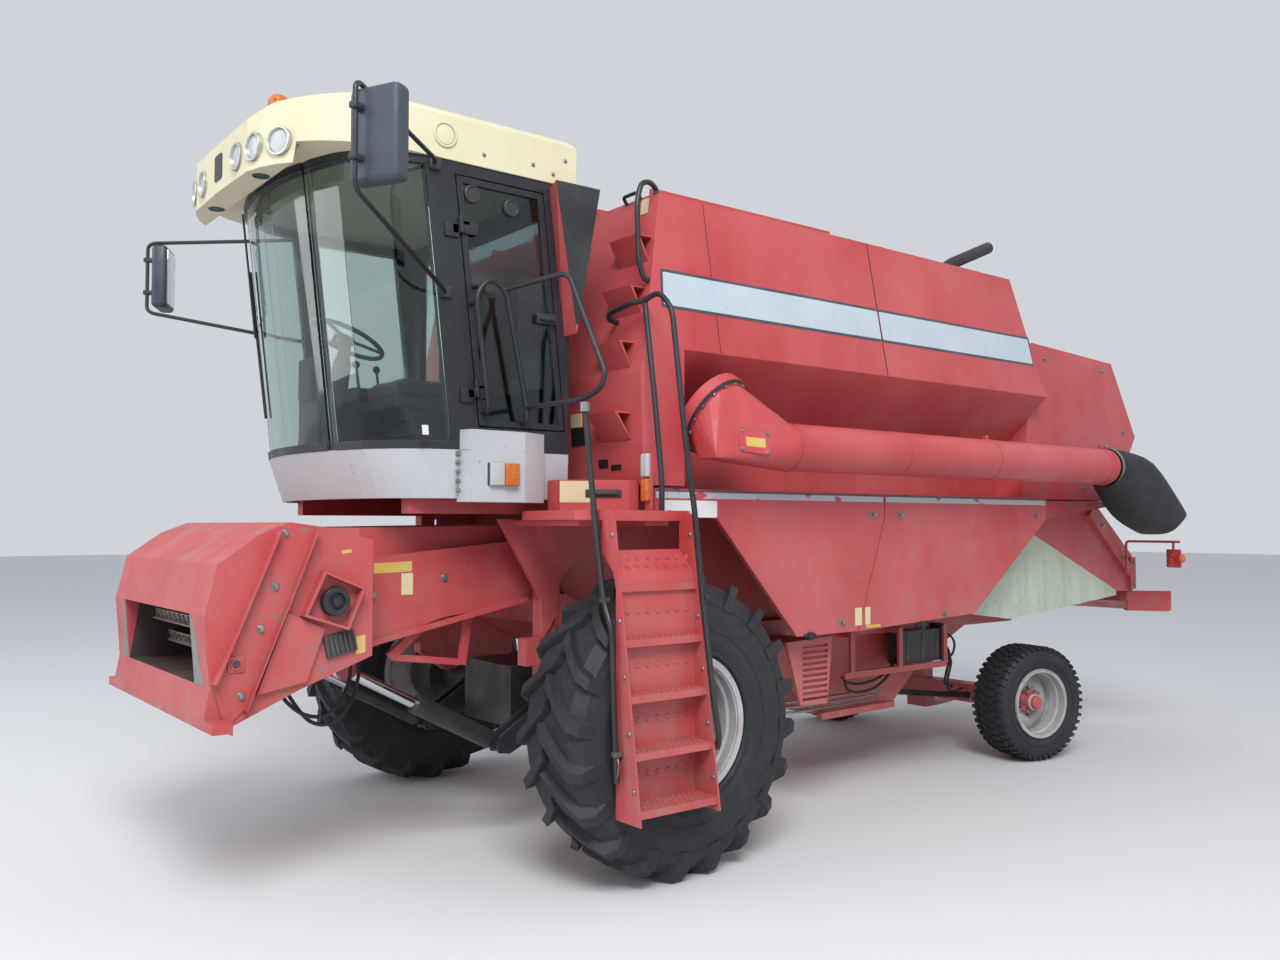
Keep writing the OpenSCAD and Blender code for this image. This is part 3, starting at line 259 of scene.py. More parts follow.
def bent_tube(name, runs, diameter, bend, material, body="chassis", wall=0.0):
    """Round tube or bar along runs of points in millimetres, its corners bent; with a wall it is open."""
    routes = []
    for run in runs:
        corners = [at(*place) for place in run]
        route = [corners[0]]
        for before, corner, after in zip(corners, corners[1:], corners[2:]):
            reach = min(bend / 1000, (before - corner).length * 0.48, (after - corner).length * 0.48)
            start = corner + (before - corner).normalized() * reach
            end = corner + (after - corner).normalized() * reach
            for step in range(7):
                share = step / 6
                route.append(start.lerp(corner, share).lerp(corner.lerp(end, share), share))
        routes.append([*route, corners[-1]])
    shaped = link(name + "_line", round_line(name, routes, diameter, not wall))
    drawn = baked(shaped)
    build = bmesh.new()
    build.from_mesh(drawn)
    bpy.data.objects.remove(shaped)
    bpy.data.meshes.remove(drawn)
    if wall:
        bmesh.ops.recalc_face_normals(build, faces=build.faces[:])
        bmesh.ops.solidify(build, geom=build.faces[:], thickness=wall / 1000)
    bmesh.ops.recalc_face_normals(build, faces=build.faces[:])
    return piece(name, build, material, body, 50)


def vinyl(name, colour, worn="#8d8a84", gloss=0.35, bleach=0.25):
    """Printed film, stuck on: satin, a little sun-bleached and scuffed."""
    made, tree, shader, place = surface(name, "cream_plastic", Roughness=gloss)
    bleached = over(tree, spots(tree, place, 300, 0.4, 0.3, bleach), linear(colour), linear("#dedad2"))
    scuffed = over(tree, spots(tree, place, 14, 0.66, 0.05, 0.6), bleached, linear(worn))
    skin = add(tree, "ShaderNodeTexNoise", {"Vector": place, "Scale": 260.0}).outputs[0]
    coat(tree, shader, scuffed, skin, 0.15)
    return made


def on_tank(x, z):
    """A point on the tank's leaning left side."""
    return (x, BODY_SIDE - 45 * (z - 2592) / 808, z)


def seam(z):
    """How far back the slanting joint between tank and hood lies at a height."""
    return -1711 - 141 * (3418 - z) / 819


def stripe(margin):
    """The stripe's two lengths, drawn in by a margin on all but their ends at the joint."""
    low, high = 2800 + margin, 3000 - margin
    front, back_high, back_low = -76 - margin, -3412 + margin, -3460 + margin
    ahead = ((front, low), (front, high), (seam(high) + 8, high), (seam(low) + 8, low))
    behind = ((seam(low) - 8, low), (seam(high) - 8, high), (back_high, high), (back_low, low))
    return [[on_tank(x, z) for x, z in corners] for corners in (ahead, behind)]


def tank_front(y, z):
    """A point on the front of the tank, which leans forward to its crease and back above it."""
    bends = ((1871, 42), (2105, 57), (2451, 66), (3400, -90))
    for (low, near), (high, far) in zip(bends, bends[1:]):
        if z <= high:
            return (near + (far - near) * (z - low) / (high - low), y, z)


def upright(y_low, y_high, z_low, z_high):
    """A plate's outline on the front of the tank."""
    return [tank_front(y, z) for y, z in ((y_low, z_low), (y_high, z_low), (y_high, z_high), (y_low, z_high))]


# Film keeps a flat, nearly even colour beside the mottled paint, with a soft shine.
pale_film = vinyl("pale blue-grey film", "#b3bfcb")
edge_film = vinyl("dark blue-grey film", "#39434f", bleach=0.06)
cream_film = vinyl("cream label film", "#d3c596")
yellow_film = vinyl("yellow label film", "#c9a445")
white_film = vinyl("white label film", "#d5d8da")
black_film = vinyl("black label film", "#16181d", worn="#4a4d52", bleach=0.03)
bright_film = vinyl("bright edging film", "#aab2bb")
joint_shadow = vinyl("shadowed panel joint", "#4b2427", worn="#3a1f21", gloss=0.7, bleach=0.0)

tank_joints = [
    [on_tank(seam(z) + edge, z) for z, edge in ((3396, -4), (3396, 4), (2596, 4), (2596, -4))],
    [on_tank(x, z) for x, z in ((-388, 3396), (-384, 3396), (-474, 2596), (-478, 2596))],
]
for side, facing, placed in (("left", (0, 1, 0), list), ("right", (0, -1, 0), mirrored)):
    plates(f"stripe_edge_{side}", placed(stripe(0)), facing, 1.5, edge_film, "chassis", 14)
    plates(f"stripe_face_{side}", placed(stripe(15)), facing, 2.5, pale_film, "chassis", 8)
    plates(f"tank_joints_{side}", placed(tank_joints), facing, 1.0, joint_shadow, "chassis")

plates(
    "tank_plates_pale", [upright(598, 700, 2212, 2285), upright(1040, 1098, 3310, 3392)], (1, 0, 0), 4,
    cream_film, "chassis", 4,
)
plates(
    "tank_plates_dark",
    [upright(606, 728, 2113, 2208), upright(847, 927, 1982, 2027), upright(954, 1040, 1967, 1996)],
    (1, 0, 0), 4, black_film, "chassis", 4,
)
bent_tube(
    "tank_grab_handle", [[(-97, 899, 3398), (-66, 899, 3436), (-66, 1021, 3436), (-97, 1021, 3398)]], 20, 22,
    black_enamel,
)

# Side shields
#
# The band under the unloading tube has a worn stick-on stripe with a thin dark line over it. The panels
# below are held by rubber latches and a few screws, and carry blank labels by the joint.


def aimed(centre, facing):
    """A place in the frame whose own Z axis points the way that facing gives."""
    return Matrix.Translation(at(*centre)) @ Vector(facing).to_track_quat("Z", "Y").to_matrix().to_4x4()


def bolts(build, places, facing, across):
    """Adds washers and hexagon heads, across millimetres over their flats, on their seats."""
    for place in places:
        seat = aimed(place, facing)
        for segments, radius, low, high in ((12, 0.95, 0.0, 0.14), (6, 0.577, 0.14, 0.75)):
            radius, low, high = (value * across / 1000 for value in (radius, low, high))
            bmesh.ops.create_cone(
                build, cap_ends=True, segments=segments, radius1=radius, radius2=radius * 0.93,
                depth=high - low, matrix=seat @ Matrix.Translation((0, 0, (low + high) / 2)),
            )


def block(build, low, high, soft=0.0, place=None):
    """Adds a block between two corners in millimetres, in the frame or in a place, with its edges rounded."""
    if place:
        corners = [Vector(low) / 1000, Vector(high) / 1000]
    else:
        corners = [at(*low), at(*high)]
    size = [abs(value) for value in corners[1] - corners[0]]
    shape = Matrix.Translation((corners[0] + corners[1]) / 2) @ Matrix.Diagonal((*size, 1))
    made = bmesh.ops.create_cube(build, size=1, matrix=place @ shape if place else shape)
    if soft:
        edges = list({edge for vert in made["verts"] for edge in vert.link_edges})
        bmesh.ops.bevel(
            build, geom=edges, offset=soft / 1000, offset_type="OFFSET", affect="EDGES",
            segments=3, profile=0.5, material=-1,
        )


def blocks(name, shapes, material, body="chassis", place=None, sharp=30):
    """A piece made of blocks, each given by two corners and the rounding of its edges."""
    build = bmesh.new()
    for low, high, soft in shapes:
        block(build, low, high, soft, place)
    return piece(name, build, material, body, sharp)


def bolted(name, rows, body="chassis"):
    """A piece made of rows of zinc-plated bolts: places, the way they face, and their size."""
    build = bmesh.new()
    for places, facing, across in rows:
        bolts(build, places, facing, across)
    return piece(name, build, zinc, body)


def rubbed_film():
    """Pale film rubbed through to the red in patches."""
    made, tree, shader, place = surface("pale film, rubbed through to the red", "red_paint", Roughness=0.45)
    gone = spots(tree, place, 150, 0.585, 0.02, 1.0, (1.0, 1.0, 2.0))
    coat(tree, shader, over(tree, gone, linear("#aeb4bb"), linear("#b4444a")), gone, 0.5, -0.001)
    return made


def moulded_rubber(name, slot, fresh, dusted, grain, depth):
    """Black rubber with dust in its grain."""
    made, tree, shader, place = surface(name, slot, Roughness=0.66)
    wide = spots(tree, place, 190, 0.4, 0.35, 0.5)
    fine = spots(tree, place, 28, 0.5, 0.2, 0.4)
    colour = over(tree, fine, over(tree, wide, linear(fresh), linear(dusted)), linear(dusted))
    skin = add(tree, "ShaderNodeTexNoise", {"Vector": place, "Scale": grain, "Detail": 5.0}).outputs[0]
    coat(tree, shader, colour, skin, 0.35, depth)
    return made


def on_band(x_low, x_high, z_low, z_high):
    """A plate's outline on the shields' outer face."""
    corners = ((x_low, z_low), (x_high, z_low), (x_high, z_high), (x_low, z_high))
    return [(x, BODY_SIDE, z) for x, z in corners]


# The red shows through the film in ragged patches.
worn_film = rubbed_film()
# Rubber is near black with hardly a highlight, and greyer where dust sits in it.
rubber = moulded_rubber("black rubber, moulded", "rubber", "#1b1c1f", "#38373a", 400.0, 0.001)
# Plating is a dull silver with brown specks, brighter than the paint round it.
zinc = enamel("zinc-plated steel", "steel", "#8f9194", "#a2a4a5", "#6d5a4a", rough=0.34, metal=0.8)

for part, back, front, latch, screws in (
    ("front", -1796, -30, (-1146, 1066), [(-1415, 1121), (-120, 1740), (-1700, 1745)]),
    ("rear", -3556, -1820, (-2156, 1068), [(-2390, 1123), (-1960, 1745), (-3440, 1745)]),
):
    for side, mirror, placed in (("left", 1, list), ("right", -1, mirrored)):
        body = f"shield_{part}_{side}"
        facing = (0, mirror, 0)
        for kind, low, high, film in (("line", 1856, 1866, edge_film), ("film", 1822, 1854, worn_film)):
            band = placed([on_band(back, front, low, high)])
            plates(f"band_{kind}_{part}_{side}", band, facing, 1.2, film, body)
        x, z = latch
        strap = ((x - 46, 1205 * mirror, z - 16), (x + 46, 1232 * mirror, z + 6), 4)
        toggle = ((x - 18, 1214 * mirror, z - 30), (x + 18, 1240 * mirror, z + 14), 4)
        blocks(f"latch_{part}_{side}", (strap, toggle), rubber, body)
        heads = [(x, BODY_SIDE * mirror, z) for x, z in screws]
        bolted(f"shield_bolts_{part}_{side}", ((heads, facing, 24),), body)
for name, edges, film, body, corner in (
    ("white", (-443, -81, 1724, 1811), white_film, "shield_front_left", 6),
    ("front", (-1592, -1532, 1094, 1197), cream_film, "shield_front_left", 4),
    ("rear", (-1668, -1622, 1094, 1197), cream_film, "shield_rear_left", 4),
    ("yellow", (-1760, -1628, 1074, 1091), yellow_film, "shield_rear_left", 3),
):
    plates(f"shield_label_{name}", [on_band(*edges)], (0, 1, 0), 1.5, film, body, corner)

# Engine hood and exhaust
#
# The hood is one pressed cover with a round air screen on its right side, where the fan draws in clean
# air. The exhaust is a plain steel pipe that comes up through its roof and lies back over it.


def spun(build, profile, place, steps=64, closed=True):
    """Adds a turned shape: its profile gives millimetres along the place's Z axis and out from it."""
    verts = [build.verts.new(place @ Vector((out / 1000, 0, along / 1000))) for along, out in profile]
    edges = [build.edges.new(pair) for pair in zip(verts, verts[1:])]
    if closed:
        edges.append(build.edges.new((verts[-1], verts[0])))
    bmesh.ops.spin(
        build, geom=verts + edges, cent=place.translation, axis=place.col[2].to_3d(), dvec=(0, 0, 0),
        angle=math.tau, steps=steps, use_merge=True, use_duplicate=False,
    )
    bmesh.ops.remove_doubles(build, verts=build.verts[:], dist=0.00001)
    bmesh.ops.recalc_face_normals(build, faces=build.faces[:])


def turned(name, profiles, place, steps, material, body="chassis", sharp=30):
    """A piece made of turned shapes about one axis."""
    build = bmesh.new()
    for profile in profiles:
        spun(build, profile, place, steps)
    return piece(name, build, material, body, sharp)


def weave(tree, place, pitch, axes):
    """Where threads pitch millimetres apart cross along two axes."""
    threads = {"Vector": place, "Scale": 314 / pitch}
    first, second = (add(tree, "ShaderNodeTexWave", threads, bands_direction=axis) for axis in axes)
    crossed = {0: first.outputs["Fac"], 1: second.outputs["Fac"]}
    return add(tree, "ShaderNodeMath", crossed, operation="MULTIPLY").outputs[0]


# Heat has burnt the steel to a dull near-black with brown rust.
pipe_steel = enamel("heat-darkened pipe steel", "iron", "#2b2c30", "#3a3735", "#6b4a38", rough=0.6, chips=0.6)
exhaust_pipe = bent_tube(
    "exhaust_pipe", [[(-3120, 544, 3385), (-3120, 544, 3470), (-3433, 544, 3649), (-3925, 544, 3852)]],
    90, 60, pipe_steel, wall=2.5,
)
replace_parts(exhaust_pipe, "exhaust")
build = bmesh.new()
collar_place = aimed((-3120, 544, 3391), (0, 0, 1))
spun(build, [(0, 64), (8, 64), (10, 48), (40, 48), (40, 44.5), (0, 44.5)], collar_place, 40)
collar_bolts = [(-3120 + 52.92 * dx, 544 + 52.92 * dy, 3399) for dx, dy in ((1, 0), (0, 1), (-1, 0), (0, -1))]
bolts(build, collar_bolts, (0, 0, 1), 9)
piece("exhaust_collar", build, pipe_steel)

# Pierced steel looks dark grey; its holes are painted as fine black dots, painted shade of the space behind
# them.
air_mesh, tree, shader, place = surface("perforated air screen", "iron", Metallic=0.6, Roughness=0.5)
# Holes at 6 mm centres, drawn at 12 mm so that they show.
shaded_holes = {"Value": weave(tree, place, 12, "XZ"), "From Min": 0.4, "From Max": 0.55}
shaded_holes = add(tree, "ShaderNodeMapRange", shaded_holes).outputs[0]
coat(tree, shader, over(tree, shaded_holes, linear("#4a4c51"), linear("#0b0b0c")))
screen_place = aimed((-2500, -1204, 2930), (0, -1, 0.0557))
screen_profile = [(0, 380), (34, 372), (34, 352), (14, 340), (10, 120), (30, 112), (30, 0), (0, 0)]
turned("air_screen", [screen_profile], screen_place, 72, air_mesh)
build = bmesh.new()
spun(build, [(0, 400), (18, 398), (18, 378), (0, 378)], screen_place, 72)
for turn in range(0, 180, 45):
    bar_place = screen_place @ Matrix.Rotation(math.radians(turn), 4, "Z")
    block(build, (-362, -9, 30), (362, 9, 38), 2, bar_place)
piece("air_screen_guard", build, red_enamel)

# Unloading tube
#
# A round sheet-steel tube folded back along the machine, on a bolted swing ring. Its elbow has a
# bolted cover, and clamp rings join its lengths.

# The tube's centre line from the centre plane and the ground, in millimetres.
TUBE_Y, TUBE_Z = 1387, 2102


def on_elbow(x, z, out=0):
    """A point on the flat outer side of the elbow, or a little way out of it."""
    dx, dy, dz = elbow_out
    return (x + dx * out, 1439.2 - (dx * (x + 420) + dz * (z - 2120)) / dy + dy * out, z + dz * out)


ring_place = aimed((-440, 1223, 2258), (-0.243, 0.773, -0.586))
build = bmesh.new()
for step in range(16):
    turn = Matrix.Rotation(math.radians(step * 22.5 + 8), 4, "Z")
    seat = ring_place @ turn @ Matrix.Translation((0.210, 0, 0.0145))
    bmesh.ops.create_cone(
        build, cap_ends=True, segments=6, radius1=0.011, radius2=0.0105, depth=0.012, matrix=seat,
    )
piece("swing_ring_bolts", build, zinc, "unloader")
seal = [(-14, 226), (10, 226), (14, 222), (14, 217), (-14, 217)]
turned("swing_ring_seal", [seal], ring_place, 72, rubber, "unloader")

elbow_out = (0.213, 0.957, 0.196)

cover_corners = ((-400, 2062), (-412, 2180), (-588, 2168), (-574, 2044))
plates("elbow_cover", [[on_elbow(x, z) for x, z in cover_corners]], elbow_out, 4, red_enamel, "unloader", 10)
label_edge = ((-440, 2088), (-444, 2136), (-556, 2130), (-552, 2082))
plates("elbow_label", [[on_elbow(x, z, 4) for x, z in label_edge]], elbow_out, 1, yellow_film, "unloader", 4)
heads = [on_elbow(x, z, 4) for x, z in ((-416, 2074), (-426, 2166), (-574, 2156), (-562, 2056))]
bolted("elbow_cover_bolts", ((heads, elbow_out, 13),), "unloader")
build = bmesh.new()
for x, wide, tall in ((-2606, 16, 4), (-790, 10, 3), (-4009, 26, 5), (-3955, 8, 3), (-1700, 6, 2)):
    clamp_place = aimed((x, TUBE_Y, TUBE_Z), (-1, 0, 0))
    spun(build, [(0, 128), (0, 129 + tall), (wide, 129 + tall), (wide, 128)], clamp_place, 72)
block(build, (-4030, 1370, 2228), (-4006, 1404, 2262), 3)
block(build, (-2622, 1370, 2228), (-2604, 1404, 2256), 3)
piece("tube_clamps", build, red_enamel, "unloader")

# Spout
#
# A thick black rubber sleeve is clamped round the tube's end and widens to a boot turned down, so that
# the grain falls straight. It is moulded in one piece, with a rounded oblong mouth.

build = bmesh.new()
loops = []
for top, bottom, wide, square in (
    ((-4062, 2240), (-4062, 1964), 138, 1.0),
    ((-4200, 2236), (-4150, 1872), 147, 0.8),
    ((-4400, 2214), (-4270, 1762), 150, 0.7),
    ((-4600, 2186), (-4400, 1692), 150, 0.65),
    ((-4800, 2030), (-4560, 1648), 150, 0.62),
    ((-4960, 1896), (-4660, 1624), 150, 0.6),
    ((-5088, 1788), (-4746, 1606), 150, 0.6),
):
    ends = [at(top[0], TUBE_Y, top[1]), at(bottom[0], TUBE_Y, bottom[1])]
    middle, reach = (ends[0] + ends[1]) / 2, (ends[0] - ends[1]) / 2
    made = bmesh.ops.create_circle(build, cap_ends=False, segments=40, radius=1)["verts"]
    for vert in made:
        up = math.copysign(abs(vert.co.x) ** square, vert.co.x)
        across = math.copysign(abs(vert.co.y) ** square, vert.co.y)
        vert.co = middle + reach * up + Vector((0, across * wide / 1000, 0))
    ring = set(made)
    loops.append([edge for edge in build.edges if edge.verts[0] in ring and edge.verts[1] in ring])
for near, far in zip(loops, loops[1:]):
    bmesh.ops.bridge_loops(build, edges=near + far)
bmesh.ops.recalc_face_normals(build, faces=build.faces[:])
bmesh.ops.solidify(build, geom=build.faces[:], thickness=0.01)
bmesh.ops.recalc_face_normals(build, faces=build.faces[:])
spout = piece("spout_sleeve", build, rubber, "unloader", 60)
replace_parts(spout, "auger_spout")
rounding = spout.modifiers.new("rounding", "SUBSURF")
rounding.levels = rounding.render_levels = 1
build = bmesh.new()
spun(build, [(0, 136), (0, 143), (20, 143), (20, 136)], aimed((-4072, TUBE_Y, TUBE_Z), (-1, 0, 0)), 64)
block(build, (-4098, 1374, 2238), (-4070, 1400, 2258), 3)
piece("spout_clamp", build, zinc, "unloader")

# Rear hood, curtain and marker lamps
#
# The straw hood ends over a bent sheet spreader. A coated cloth curtain hangs on each side between the
# shields and the hood's lower edge. A lamp bracket and a red plate stand out on each side behind.


def coated_cloth():
    """Woven cloth in a pale plastic coat, with dirt in soft patches."""
    made, tree, shader, place = surface("coated straw curtain cloth", "cloth", Roughness=0.55)
    dirt = spots(tree, place, 260, 0.42, 0.3, 0.55, (1.0, 1.0, 0.5))
    stain = spots(tree, place, 60, 0.55, 0.2, 0.5)
    colour = over(tree, stain, over(tree, dirt, linear("#b9c4b2"), linear("#a0ab9b")), linear("#8b9384"))
    # The woven backing shows through the coat: threads 1 mm apart, drawn at 4 mm so that they show.
    coat(tree, shader, colour, weave(tree, place, 4, "XZ"), 0.25)
    return made


def lens(name, colour, through, rough=0.18):
    """Moulded lamp plastic, its ribs cast inside, a little hazed."""
    made, tree, shader, place = surface(name, "lamp", Roughness=rough, IOR=1.49, Transmission_Weight=through)
    hazed = over(tree, spots(tree, place, 18, 0.45, 0.3, 0.3), linear(colour), linear("#c9c4bb"))
    # Ribs 5 mm apart.
    ribs = add(tree, "ShaderNodeTexWave", {"Vector": place, "Scale": 63.0}, bands_direction="Z")
    coat(tree, shader, hazed, ribs.outputs["Fac"], 0.3)
    return made


# The coat gives the cloth a flat pale green, dirtied in soft patches.
curtain_cloth = coated_cloth()
peak_x, peak_z = -3560, 1719
curtain_cut = [(-2720, 1108), (peak_x, peak_z), (-5000, 1160), (-5000, 1120), (-3500, 1010)]
for side, mirror in (("left", 1), ("right", -1)):
    build = bmesh.new()
    cut = build.faces.new([build.verts.new(at(x, 956 * mirror, z)) for x, z in curtain_cut])
    cut_area = cut.calc_area()
    upright_cuts = [(at(x, 0, 0), (1, 0, 0)) for x in range(-4976, -2720, 24)]
    level_cuts = [(at(0, 0, z), (0, 0, 1)) for z in range(1060, 1700, 60)]
    for place, normal in upright_cuts + level_cuts:
        bmesh.ops.bisect_plane(
            build, geom=build.verts[:] + build.edges[:] + build.faces[:], dist=0.00001,
            plane_co=place, plane_no=normal,
        )
    for vert in build.verts:
        x, z = (vert.co.x - AXLE_X) * 1000, vert.co.z * 1000
        top_edge = peak_z - (0.388 * (peak_x - x) if x < peak_x else 0.727 * (x - peak_x))
        hang = min(1.0, max(0.0, (top_edge - z) / 260))
        fold = math.sin(x / 46 + z / 300) * 8 + math.sin(x / 19 + 1.7) * 3
        vert.co.y += mirror * hang * (fold + 11) / 1000
    bmesh.ops.recalc_face_normals(build, faces=build.faces[:])
    bmesh.ops.solidify(build, geom=build.faces[:], thickness=0.0015)
    bmesh.ops.recalc_face_normals(build, faces=build.faces[:])
    curtain = piece(f"straw_curtain_{side}", build, curtain_cloth, sharp=80)
    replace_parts(curtain, "straw_curtain")

bolted("rear_hood_bolts", [
    ([(x, y * mirror, z) for x, z in places], (0, mirror, 0), 22)
    for mirror in (1, -1)
    for y, places in (
        (1100, ((-3700, 1830), (-4100, 1840), (-4500, 1848))),
        (984, ((-4760, 1680), (-5080, 1420), (-5230, 1380), (-5230, 1200))),
        (1088, ((-3800, 2900), (-4600, 2880), (-4900, 2420), (-4300, 1960), (-3760, 1960))),
    )
])

# Lamp plastic lets some light in, and its ribs break up the highlight.
orange_lens = lens("moulded orange lamp lens", "#e0721c", 0.3)
red_lens = lens("moulded red lamp lens", "#b3262a", 0.2)
clear_lens = lens("clear ribbed lamp glass", "#dfe3e6", 0.4)
# Moulded plastic has a low, wide sheen and greys at its edges without showing metal.
black_plastic = enamel(
    "black moulded plastic", "dark_paint", "#222429", "#34373d", "#4a4c50", rough=0.5, chips=0.8,
)

for side, mirror, placed in (("left", 1, list), ("right", -1, mirrored)):
    arm = [(-5070, 985, 1300), (-5070, 1012, 1300), (-5070, 1012, 1552), (-5070, 1440, 1552)]
    drop = [(-5070, 1390, 1552), (-5070, 1390, 1490)]
    bent_tube(f"marker_arm_{side}", placed([arm, drop]), 20, 30, red_enamel)
    plate = ((-5078, 1335 * mirror, 1352), (-5062, 1450 * mirror, 1494), 8)
    blocks(f"marker_plate_{side}", [plate], red_lens)
    lamp_place = aimed((-5070, 1446 * mirror, 1424), (0, mirror, 0))
    dome = [(0, 34), (16, 34), (26, 26), (32, 12), (34, 0), (0, 0)]
    turned(f"marker_lens_{side}", [dome], lamp_place, 32, orange_lens)

# Front wheels
#
# Each wheel is a rolled steel rim with a dished disc deep inside, held to the drive hub by ten nuts,
# under a lugged drive tyre. The lugs and the tyre's section are in the CAD frame.


def nuts(build, hub, count, radius, along, across, tall, lead=0.0):
    """Adds a ring of wheel nuts round a hub, in millimetres."""
    for step in range(count):
        turn = Matrix.Rotation(math.radians(lead + step * 360 / count), 4, "Z")
        seat = hub @ turn @ Matrix.Translation((radius / 1000, 0, (along + tall / 2) / 1000))
        bmesh.ops.create_cone(
            build, cap_ends=True, segments=6, radius1=across / 1732, radius2=across / 1850,
            depth=tall / 1000, matrix=seat,
        )


# Tyre rubber is a dull blue-black that dust turns grey.
tyre_rubber = moulded_rubber("tyre rubber, dusty", "tyre", "#1d2025", "#36373a", 130.0, 0.002)
dress(tyre_rubber, "front_tyre_left", "front_tyre_right", "rear_tyre_left", "rear_tyre_right")
# Pale enamel shows brown rust spots and a veil of dust.
rim_enamel = enamel(
    "pale grey wheel enamel", "grey_paint", "#a9acb0", "#bfc0c2", "#7c5f4c", chips=0.63, dusty=0.6,
)
dress(rim_enamel, "front_rim_left", "front_rim_right", "rear_rim_left", "rear_rim_right")

for side, mirror in (("left", 1), ("right", -1)):
    hub = aimed((0, 1315 * mirror, 725), (0, mirror, 0))
    body = f"front_wheel_{side}"
    well = [
        (208, 345), (212, 340), (206, 322), (196, 306), (150, 304), (138, 292), (62, 292), (50, 303),
        (-10, 303), (-26, 286), (-110, 284), (-126, 298), (-158, 300), (-158, 312.6), (200, 312.6),
        (205, 330),
    ]
    disc = [(-158.8, 300), (-152, 285), (-140, 205), (-128, 150), (-128, 131), (-158.8, 131)]
    turned(f"front_rim_well_{side}", [well, disc], hub, 80, rim_enamel, body, 25)
    build = bmesh.new()
    nuts(build, hub, 10, 104, -116, 38, 34)
    spun(build, [(-115, 66), (-100, 64), (-84, 54), (-78, 30), (-77, 0), (-115, 0)], hub, 40)
    piece(f"front_hub_{side}", build, zinc, body)
    ribs = [
        [(222, 462), (229, 465), (229.5, 473), (224, 478)],
        [(214, 584), (224, 588), (222, 597), (213, 602)],
        [(210, 352), (222, 360), (222, 372), (212, 380)],
    ]
    turned(f"front_tyre_ribs_{side}", ribs, hub, 96, tyre_rubber, body)

# Rear wheels
#
# The steered wheels carry implement tyres with rows of tread blocks and square shoulder lugs. Their
# rims are pale grey, with a red hub, a red cap and six bolts.

steered = math.radians(12)
block_count = 46
# Rows of tread blocks: their lag, and their place, width and half length in millimetres.
tread_rows = ((0, 100, 34, 11), (0.5, -100, 34, 11), (0.5, 44, 36, 12), (0, -44, 36, 12), (0.5, 0, 26, 12))
for side, mirror in (("left", 1), ("right", -1)):
    body = f"rear_wheel_{side}"
    heading = (math.sin(steered) * mirror, math.cos(steered) * mirror, 0)
    hub = aimed((-3740 + 220 * heading[0], 760 * mirror + 220 * heading[1], 408), heading)
    build = bmesh.new()
    casing = [(-116, 233), (-141, 283), (-145, 328), (-139, 362), (-124, 386), (-100, 395)]
    spun(build, casing + [(-along, out) for along, out in reversed(casing)], hub, 96)
    for step in range(block_count):
        for shift, along, wide, half in tread_rows:
            turn = Matrix.Rotation(math.radians((step + shift) * 360 / block_count), 4, "Z")
            skew = Matrix.Rotation(0.3 if along > 0 else -0.3, 4, "X")
            seat = hub @ turn @ Matrix.Translation((0.394, 0, along / 1000)) @ skew
            block(build, (-8, -half, -wide / 2), (12.5, half, wide / 2), 0, seat)
        for shift, along in ((0, 129), (0.5, -129)):
            turn = Matrix.Rotation(math.radians((step + shift) * 360 / block_count), 4, "Z")
            lean = Matrix.Rotation(math.copysign(0.9, along), 4, "Y")
            seat = hub @ turn @ Matrix.Translation((0.377, 0, along / 1000)) @ lean
            block(build, (-8, -11, -22), (11, 11, 22), 0, seat)
    tread = piece(f"rear_tyre_tread_{side}", build, tyre_rubber, body, 40)
    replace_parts(tread, f"rear_tyre_{side}")
    well = [
        (136, 247), (138, 243), (134, 232), (124, 221), (84, 219), (74, 208), (10, 206), (0, 214),
        (-28, 216), (-28, 224.5), (128, 224.5), (134, 236),
    ]
    disc = [(-28.2, 214), (-20, 196), (6, 150), (10, 112), (-4, 98), (-4, 62), (-28.2, 62)]
    turned(f"rear_rim_well_{side}", [well, disc], hub, 72, rim_enamel, body, 25)
    boss = [(-4, 88), (20, 86), (30, 64), (62, 60), (70, 50), (98, 46), (106, 34), (108, 0), (-4, 0)]
    turned(f"rear_hub_{side}", [boss], hub, 48, red_enamel, body)
    build = bmesh.new()
    nuts(build, hub, 6, 74.5, 22, 25, 22)
    nuts(build, hub, 6, 103, 0, 24, 24, 30)
    piece(f"rear_nuts_{side}", build, zinc, body)
    rib = ((142, 294), (148, 297), (148, 303), (143, 307))
    ribs = [[(way * along, out) for along, out in rib] for way in (1, -1)]
    turned(f"rear_tyre_ribs_{side}", ribs, hub, 96, tyre_rubber, body)

# Frame between the wheels
#
# A black battery box, a red bar and a low dark frame hang from the rails. Hydraulic hoses loop down from
# the box to the steering cylinder on the rear axle, and steel pipes run forward along the low frame.


def hose(name, route, diameter, body):
    """A free hydraulic hose along a smooth curve through the route's points."""
    points = [at(*place) for place in route]
    line = []
    for i, start in enumerate(points[:-1]):
        before, end, after = points[max(i - 1, 0)], points[i + 1], points[min(i + 2, len(points) - 1)]
        for step in range(5):
            t = step / 5
            square, cube = 2 * before - 5 * start + 4 * end - after, 3 * start - before - 3 * end + after
            line.append((2 * start + (end - before) * t + (square * t**2 + cube * t**3)) / 2)
    line.append(points[-1])
    curve = round_line(name, [line], diameter, True)
    curve.materials.append(rubber)
    made = link(name, curve)
    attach(made, body)


dress(red_enamel, "under_frame")
under_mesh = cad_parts["under_frame"].data
under_mesh.materials.append(black_enamel)
for polygon in under_mesh.polygons:
    x, y, z = polygon.center
    in_box = z > 0.745 and -1.24 < x < -0.73 and y < 0.815
    if in_box or (z < 0.53 and x < -0.95):
        polygon.material_index = 1

